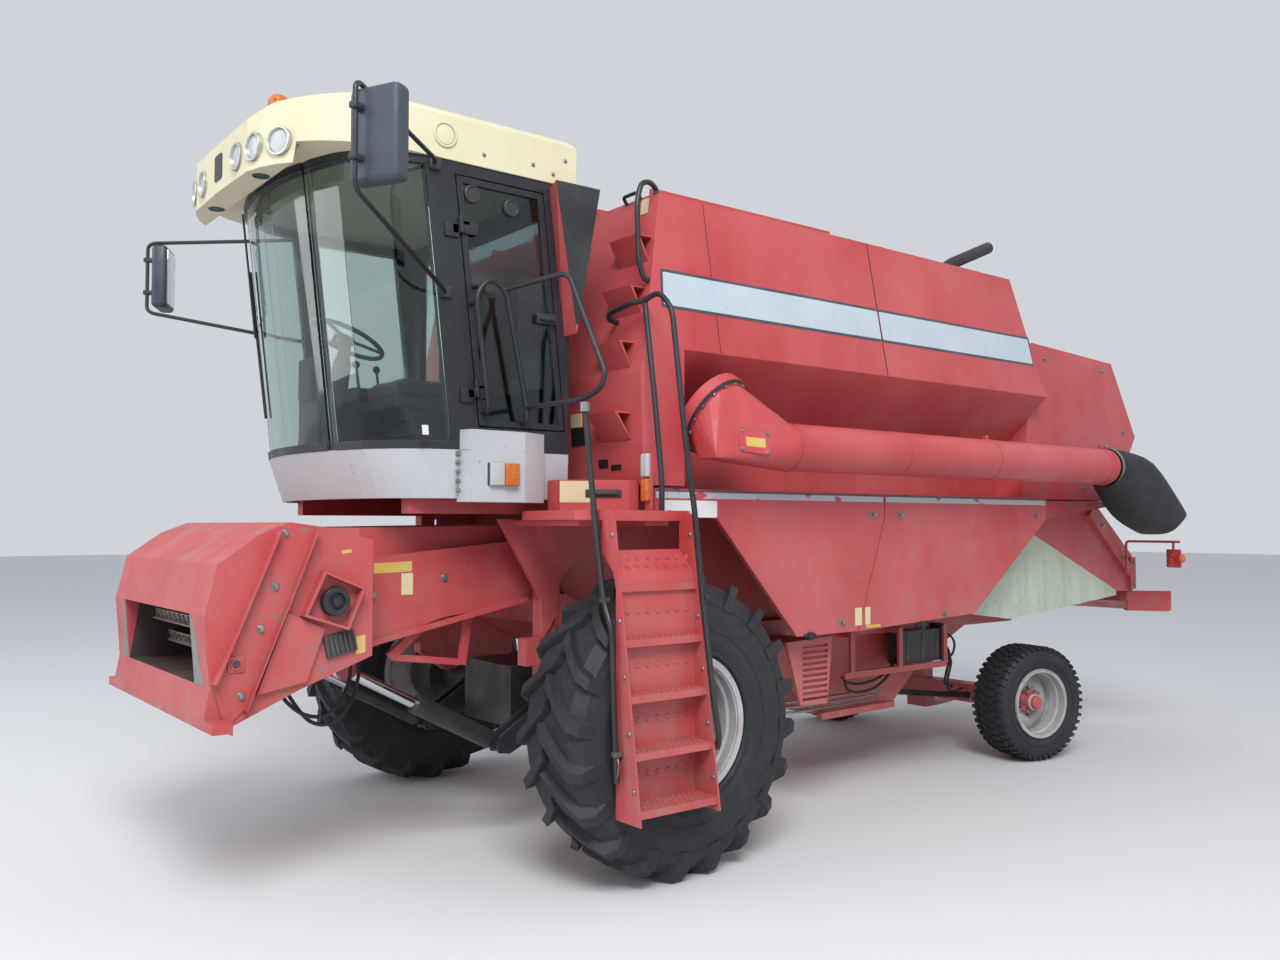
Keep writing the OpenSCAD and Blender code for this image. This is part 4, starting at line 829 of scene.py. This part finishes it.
box_ribs = [((x - 12, 806, 770), (x + 12, 816, 950), 3) for x in (-2860, -2700, -2540)]
blocks("battery_box_ribs", [((-2936, 700, 756), (-2456, 806, 964), 10), *box_ribs], black_plastic)
pipe_runs = [
    [(-1230, 655, z), (-1700, 650, z - 20), (-2450, 640, z - 15), (-2560, 560, z)] for z in (520, 552, 584)
]
bent_tube("frame_pipes", pipe_runs, 16, 60, zinc)

for name, diameter, route in (
    ("steering_hose_front", 18, [
        (-2930, 780, 800), (-3000, 790, 790), (-3060, 780, 720), (-3080, 740, 610), (-3160, 680, 520),
        (-3300, 600, 470), (-3480, 520, 450), (-3668, 430, 440),
    ]),
    ("steering_hose_rear", 18, [
        (-2930, 740, 860), (-3020, 750, 850), (-3100, 740, 760), (-3130, 690, 640), (-3230, 600, 545),
        (-3400, 500, 500), (-3560, 400, 470), (-3668, 340, 440),
    ]),
    ("steering_hose_drain", 16, [
        (-2930, 780, 915), (-3000, 800, 920), (-3072, 800, 860), (-3076, 780, 775), (-3018, 750, 738),
        (-2930, 735, 768),
    ]),
    ("frame_hose_upper", 18, [
        (-2460, 780, 800), (-2390, 785, 735), (-2270, 775, 672), (-2110, 765, 650), (-1975, 775, 672),
        (-1895, 800, 716),
    ]),
    ("frame_hose_lower", 18, [
        (-2460, 760, 770), (-2400, 765, 690), (-2290, 750, 615), (-2140, 740, 590), (-2000, 755, 622),
        (-1915, 800, 710),
    ]),
):
    hose(name, route, diameter, "chassis")

# Feeder house and its mouth
#
# Welded sheet boxes in red, rubbed bare round the mouth by the crop. The side plates carry a drive
# pulley in a guard, a square plate with a hole, a finned guard, and blank labels.

# The mouth's half width in millimetres, and how far forward its face leans for its height.
MOUTH_SIDE = 793
MOUTH_LEAN = 0.0867

# The same red as the body, with more grey sheet showing through.
feeder_red = enamel(
    "red enamel, scraped by the crop", "red_paint", "#b23a3f", "#bd5558", "#77706b", chips=0.6, dusty=0.35,
)
dress(feeder_red, "feeder_house", "feeder_mouth")
# Bare sheet is a warm grey with a soft shine and traces of red.
bare_steel = enamel(
    "sheet steel worn bare", "steel", "#87807a", "#9c9893", "#8a4a3c", rough=0.45, chips=0.55, metal=0.55,
)
jamb_edge = [(574, 1303), (612, 1268), (652, 1205), (664, 1130), (686, 1060), (712, 1003), (574, 1003)]
jamb = [(2007 + (z - 1003) * MOUTH_LEAN, y, z) for y, z in jamb_edge]
plates("mouth_worn_jambs", [jamb, *mirrored([jamb])], (1, 0, 0), 1.5, bare_steel, "feeder")
# Grime and painted shade leave the sheet inside the mouth dark brown, with little shine.
grimy_shaded_steel = enamel(
    "sheet steel, grimy and painted dark with shade", "dark_paint", "#3a2c2b", "#4a3b38", "#6d6560", "#4d453d",
    rough=0.6, chips=0.58,
)
mouth_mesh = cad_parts["feeder_mouth"].data
mouth_mesh.materials.append(grimy_shaded_steel)
# The faces inside the mouth take this dark finish: painted shade in the recess, with grime.
for polygon in mouth_mesh.polygons:
    x, y, z = polygon.center
    if abs(y) < 0.5755 and 1.0 < z < 1.31 and x < 3.70:
        polygon.material_index = 1
build = bmesh.new()
for x, z, lean in ((1890, 1236, 0.35), (1820, 1120, 0.5), (1700, 1190, 0.2)):
    slat = Matrix.Translation(at(x, 0, z)) @ Matrix.Rotation(lean, 4, "Y")
    block(build, (-4, -520, -24), (4, 520, 24), 2, slat)
    block(build, (-4, -520, -24), (30, 520, -16), 2, slat)
    for y in range(-480, 481, 80):
        block(build, (4, y - 3, -16), (16, y + 3, 20), 0, slat)
piece("mouth_slats", build, bare_steel, "feeder")
for side, mirror in (("left", 1), ("right", -1)):
    facing = (0, mirror, 0)
    build = bmesh.new()
    pulley_place = aimed((1478, MOUTH_SIDE * mirror, 1345), facing)
    grooved = [
        (0, 62), (10, 66), (16, 60), (22, 54), (28, 60), (34, 66), (44, 62), (44, 40), (30, 36),
        (30, 0), (0, 0),
    ]
    spun(build, grooved, pulley_place, 48)
    spun(build, [(30, 22), (50, 20), (52, 0), (30, 0)], pulley_place, 24)
    piece(f"feeder_pulley_{side}", build, black_enamel, "feeder")
    build = bmesh.new()
    block(build, (1868, MOUTH_SIDE * mirror, 1062), (1938, 800 * mirror, 1132), 3)
    hole_place = aimed((1903, 800 * mirror, 1097), facing)
    spun(build, [(0, 25), (4, 25), (4, 17), (0, 17)], hole_place, 32)
    piece(f"mouth_square_plate_{side}", build, feeder_red, "feeder")
    # A thin black disc fills the plate's hole: painted shade inside it.
    hole_shade_disc = [(0, 17), (1.2, 17), (1.2, 0), (0, 0)]
    turned(f"mouth_plate_hole_shade_{side}", [hole_shade_disc], hole_place, 32, black_plastic, "feeder")
    fin_place = Matrix.Translation(at(1446, 785 * mirror, 1152)) @ Matrix.Rotation(math.radians(12), 4, "Y")
    fins = [((x - 5, 14 * mirror, -44), (x + 5, 28 * mirror, 44), 2) for x in range(-66, 67, 22)]
    fins.insert(0, ((-70, 0, -50), (70, 16 * mirror, 50), 4))
    blocks(f"feeder_fins_{side}", fins, black_plastic, "feeder", fin_place)
    on_mouth, on_house = (
        [(x, y * mirror, z) for x, z in places]
        for y, places in (
            (MOUTH_SIDE, ((1700, 1650), (1880, 960), (1740, 1420), (1800, 1240))),
            (590, ((300, 1560), (820, 1420), (1200, 1350))),
        )
    )
    bolted(f"feeder_bolts_{side}", ((on_mouth, facing, 20), (on_house, facing, 22)), "feeder")
for name, y, corners, film in (
    ("bar_yellow", 590, ((997, 1458), (997, 1508), (1196, 1501), (1196, 1452)), yellow_film),
    ("label_cream", 590, ((991, 1345), (991, 1450), (1052, 1450), (1052, 1345)), cream_film),
    ("label_low", 786, ((1322, 1106), (1322, 1186), (1368, 1178), (1368, 1098)), yellow_film),
    ("label_worn", 786, ((1388, 1560), (1394, 1576), (1440, 1570), (1436, 1554)), yellow_film),
):
    plates(f"feeder_{name}", [[(x, y, z) for x, z in corners]], (0, 1, 0), 2, film, "feeder", 3)
for name, route in (
    ("feeder_hose_front", [
        (1640, 540, 962), (1600, 560, 880), (1520, 575, 815), (1420, 570, 800), (1340, 560, 860),
        (1290, 540, 960), (1280, 520, 1080),
    ]),
    ("feeder_hose_back", [
        (1600, 470, 975), (1550, 500, 870), (1470, 520, 770), (1370, 530, 755), (1280, 520, 830),
        (1230, 500, 950), (1220, 480, 1090),
    ]),
):
    hose(name, route, 18, "feeder")

# Lift rods
#
# Ground and hard-chromed bar that slides in the lift barrels. The seals keep it bright: a sharp, cool
# shine with a few duller patches.

chrome, tree, shader, place = surface("hard chrome, ground", "steel", Metallic=1.0)
shader.inputs["Base Color"].default_value = linear("#c9ccd0")
polish(tree, shader, spots(tree, place, 60, 0.4, 0.3), 0.12, 0.26)
dress(chrome, "lift_rod_left", "lift_rod_right")

# Cab
#
# A steel frame glazed with one curved, tinted windscreen and a darker door, on a grey skirt with a
# lamp box at each side, under a moulded cream roof with six work lamps and a beacon.

# Half widths of the cab and its roof and the height of its floor, in millimetres, and how far forward
# the windscreen leans for its height.
CAB_SIDE, ROOF_SIDE = 880, 888
CAB_FLOOR = 1941
SCREEN_LEAN = math.tan(math.radians(6.5))


def tinted(name, colour, rough):
    """Toughened glass, clear through and coloured in its depth, with a little dust on it."""
    made, tree, shader, place = surface(name, "glass", IOR=1.52, Transmission_Weight=1.0)
    shader.inputs["Base Color"].default_value = linear(colour)
    polish(tree, shader, spots(tree, place, 240, 0.4, 0.35), rough, rough + 0.09)
    return made


def seat_weave():
    """Dark woven upholstery, its yarns 2 mm apart."""
    made, tree, shader, place = surface("woven seat cloth", "seat_cloth", Roughness=0.9, Sheen_Weight=0.3)
    yarns = weave(tree, place, 2, "XY")
    coat(tree, shader, over(tree, yarns, linear("#26282d"), linear("#43464e")), yarns, 0.4)
    return made


def stuffed(name, low, high, cap):
    """A foam cushion in stretched cloth: a rounded block blown up by a cloth simulation, by cap at most."""
    build = bmesh.new()
    block(build, low, high, 34)
    bmesh.ops.recalc_face_normals(build, faces=build.faces[:])
    made = piece(name, build, seat_fabric, sharp=80)
    remesh = made.modifiers.new("remesh", "REMESH")
    remesh.mode = "VOXEL"
    remesh.voxel_size = 0.009
    made.data = baked(made)
    made.modifiers.clear()
    start = [vert.co.copy() for vert in made.data.vertices]
    cloth = made.modifiers.new("cloth", "CLOTH")
    cloth.settings.use_pressure = True
    cloth.settings.uniform_pressure_force = 4
    cloth.settings.effector_weights.gravity = 0
    for step in range(1, 21):
        bpy.context.scene.frame_set(step)
    made.data = baked(made)
    made.modifiers.clear()
    bpy.context.scene.frame_set(1)
    for vert, before in zip(made.data.vertices, start):
        move = vert.co - before
        if move.length > cap / 1000:
            vert.co = before + move * (cap / 1000 / move.length)
    made.data.shade_smooth()
    smooth = made.modifiers.new("smooth", "SUBSURF")
    smooth.levels = smooth.render_levels = 1
    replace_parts(made, "seat")


# A light, cool grey with little dust on it.
grey_enamel = enamel("light grey enamel, sprayed", "grey_paint", "#a9acb1", "#bdbfc2", "#5c5e62", dusty=0.2)
dress(grey_enamel, "cab_floor")
# Gel coat is a pale, slightly chalky cream.
cream_roof = enamel(
    "cream gel coat over glass fibre", "cream_plastic", "#cbc5a0", "#d8d3b8", "#7d7a70",
    rough=0.5, chips=0.72, dusty=0.05,
)
dress(cream_roof, "cab_roof")

dress(tinted("green-tinted windscreen glass", "#d3e2de", 0.0), "cab_glass")
dress(tinted("dark-tinted door glass", "#8b9ba0", 0.02), "door_glass")

# Woven yarns leave the seat matt, with a faint sheen.
seat_fabric = seat_weave()

stuffed("seat_cushion", (450, -228, 2368), (905, 228, 2452), 16)
stuffed("seat_back", (372, -218, 2490), (452, 218, 3030), 14)
build = bmesh.new()
block(build, (500, -200, CAB_FLOOR), (800, 200, 1990), 8)
for level in range(7):
    inset = 14 if level % 2 else 0
    low = (530 + inset, inset - 170, 1990 + level * 44)
    block(build, low, (780 - inset, 170 - inset, 2034 + level * 44), 6)
block(build, (440, -240, 2300), (920, 240, 2362), 12)
block(build, (356, -180, 2330), (376, 180, 2960), 6)
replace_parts(piece("seat_suspension", build, black_plastic), "seat")

build = bmesh.new()
foot = aimed((1200, 0, CAB_FLOOR), (0, 0, 1))
spun(build, [(0, 74), (18, 74), (40, 52), (60, 46), (60, 0), (0, 0)], foot, 40)
column = aimed((1197, 0, 1990), (-97, 0, 670))
spun(build, [(0, 46), (180, 40), (200, 52), (560, 46), (580, 36), (676, 30), (676, 0), (0, 0)], column, 40)
wheel = aimed((1095, 0, 2670), (-0.423, 0, 0.906))
grip = [(12 * math.sin(math.radians(a)), 197 + 13 * math.cos(math.radians(a))) for a in range(0, 360, 36)]
spun(build, grip, wheel, 64)
spun(build, [(-14, 44), (14, 40), (18, 0), (-14, 0)], wheel, 32)
for turn in (0, 120, 240):
    block(build, (30, -12, -6), (192, 12, 5), 3, wheel @ Matrix.Rotation(math.radians(turn), 4, "Z"))
knob_place = wheel @ Matrix.Translation((0.197, 0, 0))
spun(build, [(10, 12), (44, 13), (60, 16), (64, 10), (64, 0), (10, 0)], knob_place, 20)
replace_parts(piece("steering_wheel", build, black_plastic, sharp=40), "controls")

console = (
    ((420, -640, CAB_FLOOR), (1120, -330, 2440), 26),
    ((520, -600, 2436), (900, -370, 2470), 14),
    ((1110, -560, 2380), (1150, -360, 2620), 12),
    ((300, -560, CAB_FLOOR), (420, 560, 2330), 18),
)
blocks("side_console", console, black_plastic)
lever_runs = [
    [(980, -420, 2430), (1010, -420, 2560), (1060, -400, 2640)],
    [(820, -470, 2465), (840, -470, 2600)],
    [(700, -470, 2465), (715, -470, 2580)],
]
bent_tube("console_levers", lever_runs, 16, 40, black_enamel)
build = bmesh.new()
knob = [(-20, 0), (-18, 12), (-6, 21), (8, 22), (20, 14), (25, 0)]
for place in ((1066, -398, 2650), (841, -470, 2612), (716, -470, 2592)):
    spun(build, knob, aimed(place, (0.1, 0, 1)), 20, False)
piece("lever_knobs", build, black_plastic)

build = bmesh.new()
for z in (2330, 3120):
    lean = (z - 2045) * SCREEN_LEAN
    block(build, (683 + lean, CAB_SIDE, z - 34), (771 + lean, 892, z + 30), 4)
    block(build, (789 + lean, CAB_SIDE, z - 60), (863 + lean, 892, z + 10), 4)
piece("door_hinge_leaves", build, black_enamel)
build = bmesh.new()
block(build, (352, CAB_SIDE, 2700), (470, 896, 2752), 6)
block(build, (372, 896, 2714), (462, 918, 2736), 8)
for x, z in ((833, 3290), (612, 3262)):
    spun(build, [(0, 46), (12, 44), (16, 36), (10, 32), (12, 0), (0, 0)], aimed((x, 868.2, z), (0, 1, 0)), 32)
piece("door_handle_and_vents", build, black_plastic, "door")

build = bmesh.new()
roof_heads = ((778, 3492), (495, 3501), (375, 3476), (300, 3560))
for mirror in (1, -1):
    bolts(build, [(905, CAB_SIDE * mirror, z) for z in (1850, 1895, 1940, 1985, 2025)], (0, mirror, 0), 14)
    bolts(build, [(x, ROOF_SIDE * mirror, z) for x, z in roof_heads], (0, mirror, 0), 12)
piece("cab_bolts", build, zinc)
build = bmesh.new()
for mirror in (1, -1):
    cover = aimed((990, ROOF_SIDE * mirror, 3545), (0, mirror, 0))
    spun(build, [(0, 62), (7, 62), (8, 58), (8, 52), (3, 50), (0, 50)], cover, 48)
    spun(build, [(0, 48), (4, 48), (5, 44), (5, 0), (0, 0)], cover, 48)
piece("roof_side_covers", build, cream_roof)
roof_plate = [(1772, -56, 3392), (1772, 56, 3392), (1772, 56, 3522), (1772, -56, 3522)]
plates("roof_front_plate", [roof_plate], (1, 0, 0), 3, black_film, "chassis", 18)
build = bmesh.new()
for y in (380, -300):
    vent = aimed((1690, y, 3335), (0, 0, -1)) @ Matrix.Diagonal((1.0, 0.55, 1, 1))
    spun(build, [(0, 40), (4, 40), (5, 34), (0, 30)], vent, 32)
    spun(build, [(0, 30), (1, 30), (1, 0), (0, 0)], vent, 32)
piece("visor_vents", build, black_plastic)

# Plating gives the lamp rings a bright, crisp edge.
plated_ring = enamel(
    "bright lamp ring, plated", "steel", "#b9bbb8", "#cfd0cb", "#7d7a72", rough=0.3, metal=0.7,
)
rings, bowls = bmesh.new(), bmesh.new()
for x, y, turn in ((1762, 266, 3), (1745, 454, 9), (1680, 604, 28)):
    for mirror in (1, -1):
        heading = (math.cos(math.radians(turn)), mirror * math.sin(math.radians(turn)), 0)
        lamp_place = aimed((x, y * mirror, 3440), heading)
        spun(rings, [(-50, 62), (10, 64), (15, 69), (19, 66), (18, 58), (8, 55), (-50, 55)], lamp_place, 48)
        spun(bowls, [(-48, 54), (6, 54.5), (10, 40), (12, 20), (13, 0), (-48, 0)], lamp_place, 48)
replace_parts(piece("work_lamp_rings", rings, plated_ring), "lamps")
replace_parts(piece("work_lamp_lenses", bowls, clear_lens, sharp=20), "lamps")
beacon = aimed((1477, 0, 3640.5), (0, 0, 1))
base = [(0, 65), (38, 65), (50, 58), (56, 58), (56, 0), (0, 0)]
turned("beacon_base", [base], beacon, 40, black_plastic)
build = bmesh.new()
dome = [
    (56, 0), (56, 57), (66, 59), (74, 56), (120, 54), (180, 52), (230, 48), (244, 40), (252, 26), (255, 0),
]
spun(build, dome, beacon, 48, False)
for level in range(84, 220, 16):
    out = 56 - level / 60
    spun(build, [(level, 50), (level + 3, out), (level + 7, out), (level + 10, 50)], beacon, 48)
piece("beacon_dome", build, orange_lens, sharp=25)

for side, mirror in (("left", 1), ("right", -1)):
    for name, x_low, x_high, out, film in (
        ("clear", 706, 782, 982, clear_lens), ("orange", 626, 704, 990, orange_lens),
        ("back", 618, 790, 968, black_plastic),
    ):
        shape = ((x_low, 958 * mirror, 1874), (x_high, out * mirror, 1982), 4)
        blocks(f"box_lamp_{name}_{side}", [shape], film)

for name, low, high, soft, film in (
    ("post", (66, 1276, 1754.5), (86, 1324, 2040), 4, red_enamel),
    ("orange", (86, 1272, 1800), (112, 1328, 1912), 9, orange_lens),
    ("clear", (86, 1272, 1920), (112, 1328, 2036), 9, clear_lens),
):
    blocks(f"indicator_{name}", [(low, high, soft)], film)

# Wiper
#
# A pantograph wiper is parked at the far side of the windscreen: two thin arms from a spindle under the
# visor to a long blade.


def on_screen(y, z, out):
    """A point that stands a little way out of the leaning windscreen."""
    plan = -320 + math.sqrt(1720**2 - y**2)
    return (plan + (z - 2045) * SCREEN_LEAN + out, y, z)


wiper_runs = [
    [on_screen(-330, 3330, 30), on_screen(-350, 2900, 26), on_screen(-380, 2690, 22)],
    [on_screen(-300, 3330, 34), on_screen(-318, 2900, 30), on_screen(-352, 2690, 24)],
    [on_screen(-385, 2720, 20), on_screen(-340, 2690, 24)],
]
bent_tube("wiper_arms", wiper_runs, 11, 30, black_enamel)
blade_run = [on_screen(-400, 3050, 10), on_screen(-395, 2700, 9), on_screen(-372, 2260, 8)]
bent_tube("wiper_blade", [blade_run], 16, 60, rubber)
label_corners = [(1070, 902, 2105), (1098, 893, 2105), (1102, 893, 2150), (1074, 902, 2150)]
plates("windscreen_label", [label_corners], (0.3, 1, 0), 2, white_film, "chassis", 3)

# Mirrors
#
# Moulded black heads on thin bent tube, one each side, clamped to tube frames that reach out from the
# cab's corners.

# Silvered glass is bright and sharp, hazed a little in patches.
mirror_glass, tree, shader, place = surface("silvered mirror glass", "glass", Metallic=1.0)
shader.inputs["Base Color"].default_value = linear("#c3cad0")
polish(tree, shader, spots(tree, place, 90, 0.4, 0.3), 0.03, 0.12)
# The shells have a blue cast beside the black tubes.
mirror_shell = enamel(
    "blue-black moulded mirror shell", "dark_paint", "#2c3440", "#3d4652", "#59616b",
    rough=0.45, chips=0.8, dusty=0.05,
)
mirror_run = [
    (1042, 885, 3395), (1065, 930, 3402), (1700, 1530, 3406), (1724, 1552, 3385), (1724, 1552, 3000),
    (1700, 1530, 2975), (1010, 925, 2792), (980, 880, 2790),
]
for side, mirror, placed in (("left", 1, list), ("right", -1, mirrored)):
    tube = bent_tube(f"mirror_frame_{side}", placed([mirror_run]), 22, 55, black_enamel)
    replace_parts(tube, "mirrors")
    turn = Matrix.Rotation(math.radians(27 * mirror), 4, "Z")
    head = Matrix.Translation(at(1629, 1565 * mirror, 3009)) @ turn
    shell = ((-45, -118, 0), (45, 118, 382), 26)
    blocks(f"mirror_head_{side}", [shell], mirror_shell, place=head, sharp=60)
    blocks(f"mirror_face_{side}", [((-48, -98, 26), (-42, 98, 356), 2)], mirror_glass, place=head)
    build = bmesh.new()
    for z in (80, 280):
        block(build, (38, -36 * mirror, z), (100, -72 * mirror, z + 26), 6, head)
    block(build, (952, 872 * mirror, 2762), (1006, 902 * mirror, 2818), 6)
    block(build, (1014, 872 * mirror, 3366), (1072, 902 * mirror, 3424), 6)
    piece(f"mirror_clamps_{side}", build, black_plastic)

# Side sign
#
# A folded wedge beside the cab's corner, with a black panel in a bright edge on its side face, left
# blank here.

sign_high, sign_wide, sign_low = Vector((429, 997, 3410)), Vector((222, 1088, 3377)), Vector((294, 990, 2655))
sign_front = (sign_wide.lerp(sign_low, share) for share in (0.22, 0.94))
sign_corners = (sign_high, sign_wide, *sign_front, sign_high.lerp(sign_low, 0.94))
sign_outline = [tuple(corner) for corner in sign_corners]
sign_out = (sign_wide - sign_high).cross(sign_low - sign_high)
if sign_out.y < 0:
    sign_out.negate()
plates("sign_edge", [sign_outline], sign_out, 1.5, bright_film, inset=9)
plates("sign_face", [sign_outline], sign_out, 3, black_film, inset=20)

# Platform, ladder and rails
#
# The ladder is folded sheet with pierced treads, and round-headed bolts along its side plates. The rails
# are round steel tube in black enamel, bolted on by clamps.


def ladder_edge(z):
    """How far out the ladder's side plates reach at a height."""
    return 1540 + (1731 - z) * 0.1435


fascia_label = [(401, 997, 1797), (401, 997, 1903), (262, 1083, 1903), (262, 1083, 1797)]
plates("platform_label", [fascia_label], (0.5, 0.85, 0), 2, cream_film, "chassis", 4)
fascia_place = Matrix.Translation(at(216, 1111, 1842)) @ Matrix.Rotation(math.radians(-31.7), 4, "Z")
latch_shapes = (((-90, -2, -20), (90, 8, 20), 3), ((-70, 8, -8), (60, 20, 8), 4))
blocks("platform_latch", latch_shapes, black_plastic, place=fascia_place)

# Thin black discs fill the treads' holes: painted shade in the holes.
dimples, shaded_holes = bmesh.new(), bmesh.new()
for step in range(5):
    z = 1416 - 245 * step
    rows = int((ladder_edge(z) - 1586) // 26) + 1
    for row in range(rows):
        for column in range(14):
            x = 34 + column * 31 + (15 if row % 2 else 0)
            if x < 445:
                seat = aimed((x, 1574 + row * 26, z), (0, 0, 1))
                spun(dimples, [(0, 9), (4, 7), (4, 4.5), (0, 4.5)], seat, 10)
                bmesh.ops.create_cone(
                    shaded_holes, cap_ends=True, segments=10, radius1=0.0045, radius2=0.0045, depth=0.001,
                    matrix=seat,
                )
    for column in range(7):
        seat = aimed((60 + column * 58, 1562, z + 120), (0, 1, 0))
        spun(dimples, [(0, 14), (3, 11), (4, 0), (0, 0)], seat, 12)
piece("ladder_tread_dimples", dimples, red_enamel)
piece("ladder_tread_hole_shade", shaded_holes, black_plastic)
build = bmesh.new()
for z in (1640, 1255, 1010, 765, 520):
    for x in (471, 10):
        seat = aimed((x, ladder_edge(z) - 22, z), (1, 0, 0))
        spun(build, [(0, 11), (4, 10), (7, 6), (8, 0), (0, 0)], seat, 16)
piece("ladder_bolts", build, zinc)

rail_runs = [
    [
        (18.5, 965, 2742), (78.2, 965, 2751.6), (102, 1000, 2775), (100, 1190, 2802), (66, 1248, 2806),
        (48, 1342, 2840), (44, 1440, 2745), (24, 1515, 2093), (4, 1558, 1756), (4, 1616, 1329),
        (4, 1693, 870), (2, 1724, 716), (-17, 1697, 660),
    ],
    [(60, 1248, 2801), (60, 1326, 2301), (60, 1380, 1900), (60, 1380, 1754.3)],
    [
        (-98, 1140, 3400.3), (-98, 1140, 3430), (-40, 1165, 3450), (30, 1180, 3430), (67, 1190, 3327),
        (55, 1190, 3013), (17.4, 1188, 2934), (-12.3, 1188, 2929),
    ],
    [
        (500, 1351, 2248), (497, 1393, 1942), (497, 1430, 1708), (500, 1500, 1345), (500, 1566, 1215),
        (500, 1580, 820), (500, 1604, 545),
    ],
]
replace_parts(bent_tube("ladder_rails", rail_runs, 28, 60, black_enamel), "handrails")
clamps = (
    ((-31, 1655, 640), (-1, 1698, 676), 4), ((471, 1485, 1334), (516, 1520, 1358), 4),
    ((471, 1578, 658), (516, 1614, 682), 4), ((-14, 1592, 1334), (-0.5, 1640, 1358), 4),
)
blocks("rail_clamps", clamps, black_plastic)
# Tarnished copper is a dull red-brown with darker spots.
copper = enamel("copper strap, tarnished", "steel", "#9a5b3c", "#b0714c", "#5e4435", rough=0.4, metal=0.8)
strap_runs = [
    [(500, 1600, 560), (508, 1622, 585), (500, 1618, 640), (497, 1592, 668)],
    [(-17, 1697, 662), (2, 1712, 690), (6, 1728, 730), (-6, 1712, 752)],
]
bent_tube("rail_straps", strap_runs, 9, 16, copper)
door_runs = [
    [
        (773, 880.3, 2230), (773, 925, 2230), (779, 945, 2260), (848, 945, 2793), (774, 945, 2877),
        (684, 945, 2830), (561, 945, 2251), (552, 928, 2190), (552, 880.3, 2190),
    ],
    [
        (690, 945, 2832), (500, 1210, 2895), (500, 1517, 2375), (500, 1480, 2310), (500, 1351, 2274),
        (563, 945, 2262),
    ],
    [(842, 945, 2750), (842, 880.3, 2750)],
]
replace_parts(bent_tube("door_loops", door_runs, 26, 55, black_enamel, "door"), "door_rails")
post_cap = [(0, 24), (44, 24), (44, 0), (0, 0)]
turned("rail_post_cap", [post_cap], aimed((500, 1352, 2212), (0, 0, 1)), 24, zinc)

# Floor, light and camera
#
# A plain pale studio floor under soft overhead light, so that each finish shows as it is. The camera
# stands at the photograph's viewing angle.


def soft_light(name, place, size, power):
    """A square area light aimed at the middle of the machine."""
    lamp = bpy.data.lights.new(name, "AREA")
    lamp.size = size
    lamp.energy = power
    lamp_object = link(name, lamp)
    lamp_object.location = place
    lamp_object.rotation_euler = (Vector((0.5, 0, 1.5)) - Vector(place)).to_track_quat("-Z", "Y").to_euler()


floor_mesh = bpy.data.meshes.new("floor")
build = bmesh.new()
bmesh.ops.create_grid(build, x_segments=1, y_segments=1, size=60)
build.to_mesh(floor_mesh)
build.free()
floor = link("floor", floor_mesh)
floor_paint, _, shader, _ = surface("plain studio floor", "grey_paint", Roughness=0.9)
shader.inputs["Base Color"].default_value = linear("#d3d4d6")
floor_mesh.materials.append(floor_paint)

world = bpy.data.worlds.new("studio")
bpy.context.scene.world = world
world.use_nodes = True
world.node_tree.nodes["Background"].inputs["Color"].default_value = linear("#e6eaf0")
world.node_tree.nodes["Background"].inputs["Strength"].default_value = 0.8

soft_light("key light", (7.0, 9.0, 11.0), 6.0, 1700)
soft_light("fill light", (12.0, -4.0, 6.0), 8.0, 450)

camera_data = bpy.data.cameras.new("camera")
camera_data.lens = 30.36
camera = link("camera", camera_data)
camera.location = (5.096, 5.455, 1.688)
camera.rotation_euler = (math.radians(92.353), 0, math.radians(141.922))
bpy.context.scene.camera = camera
bpy.context.scene.view_settings.view_transform = "Standard"
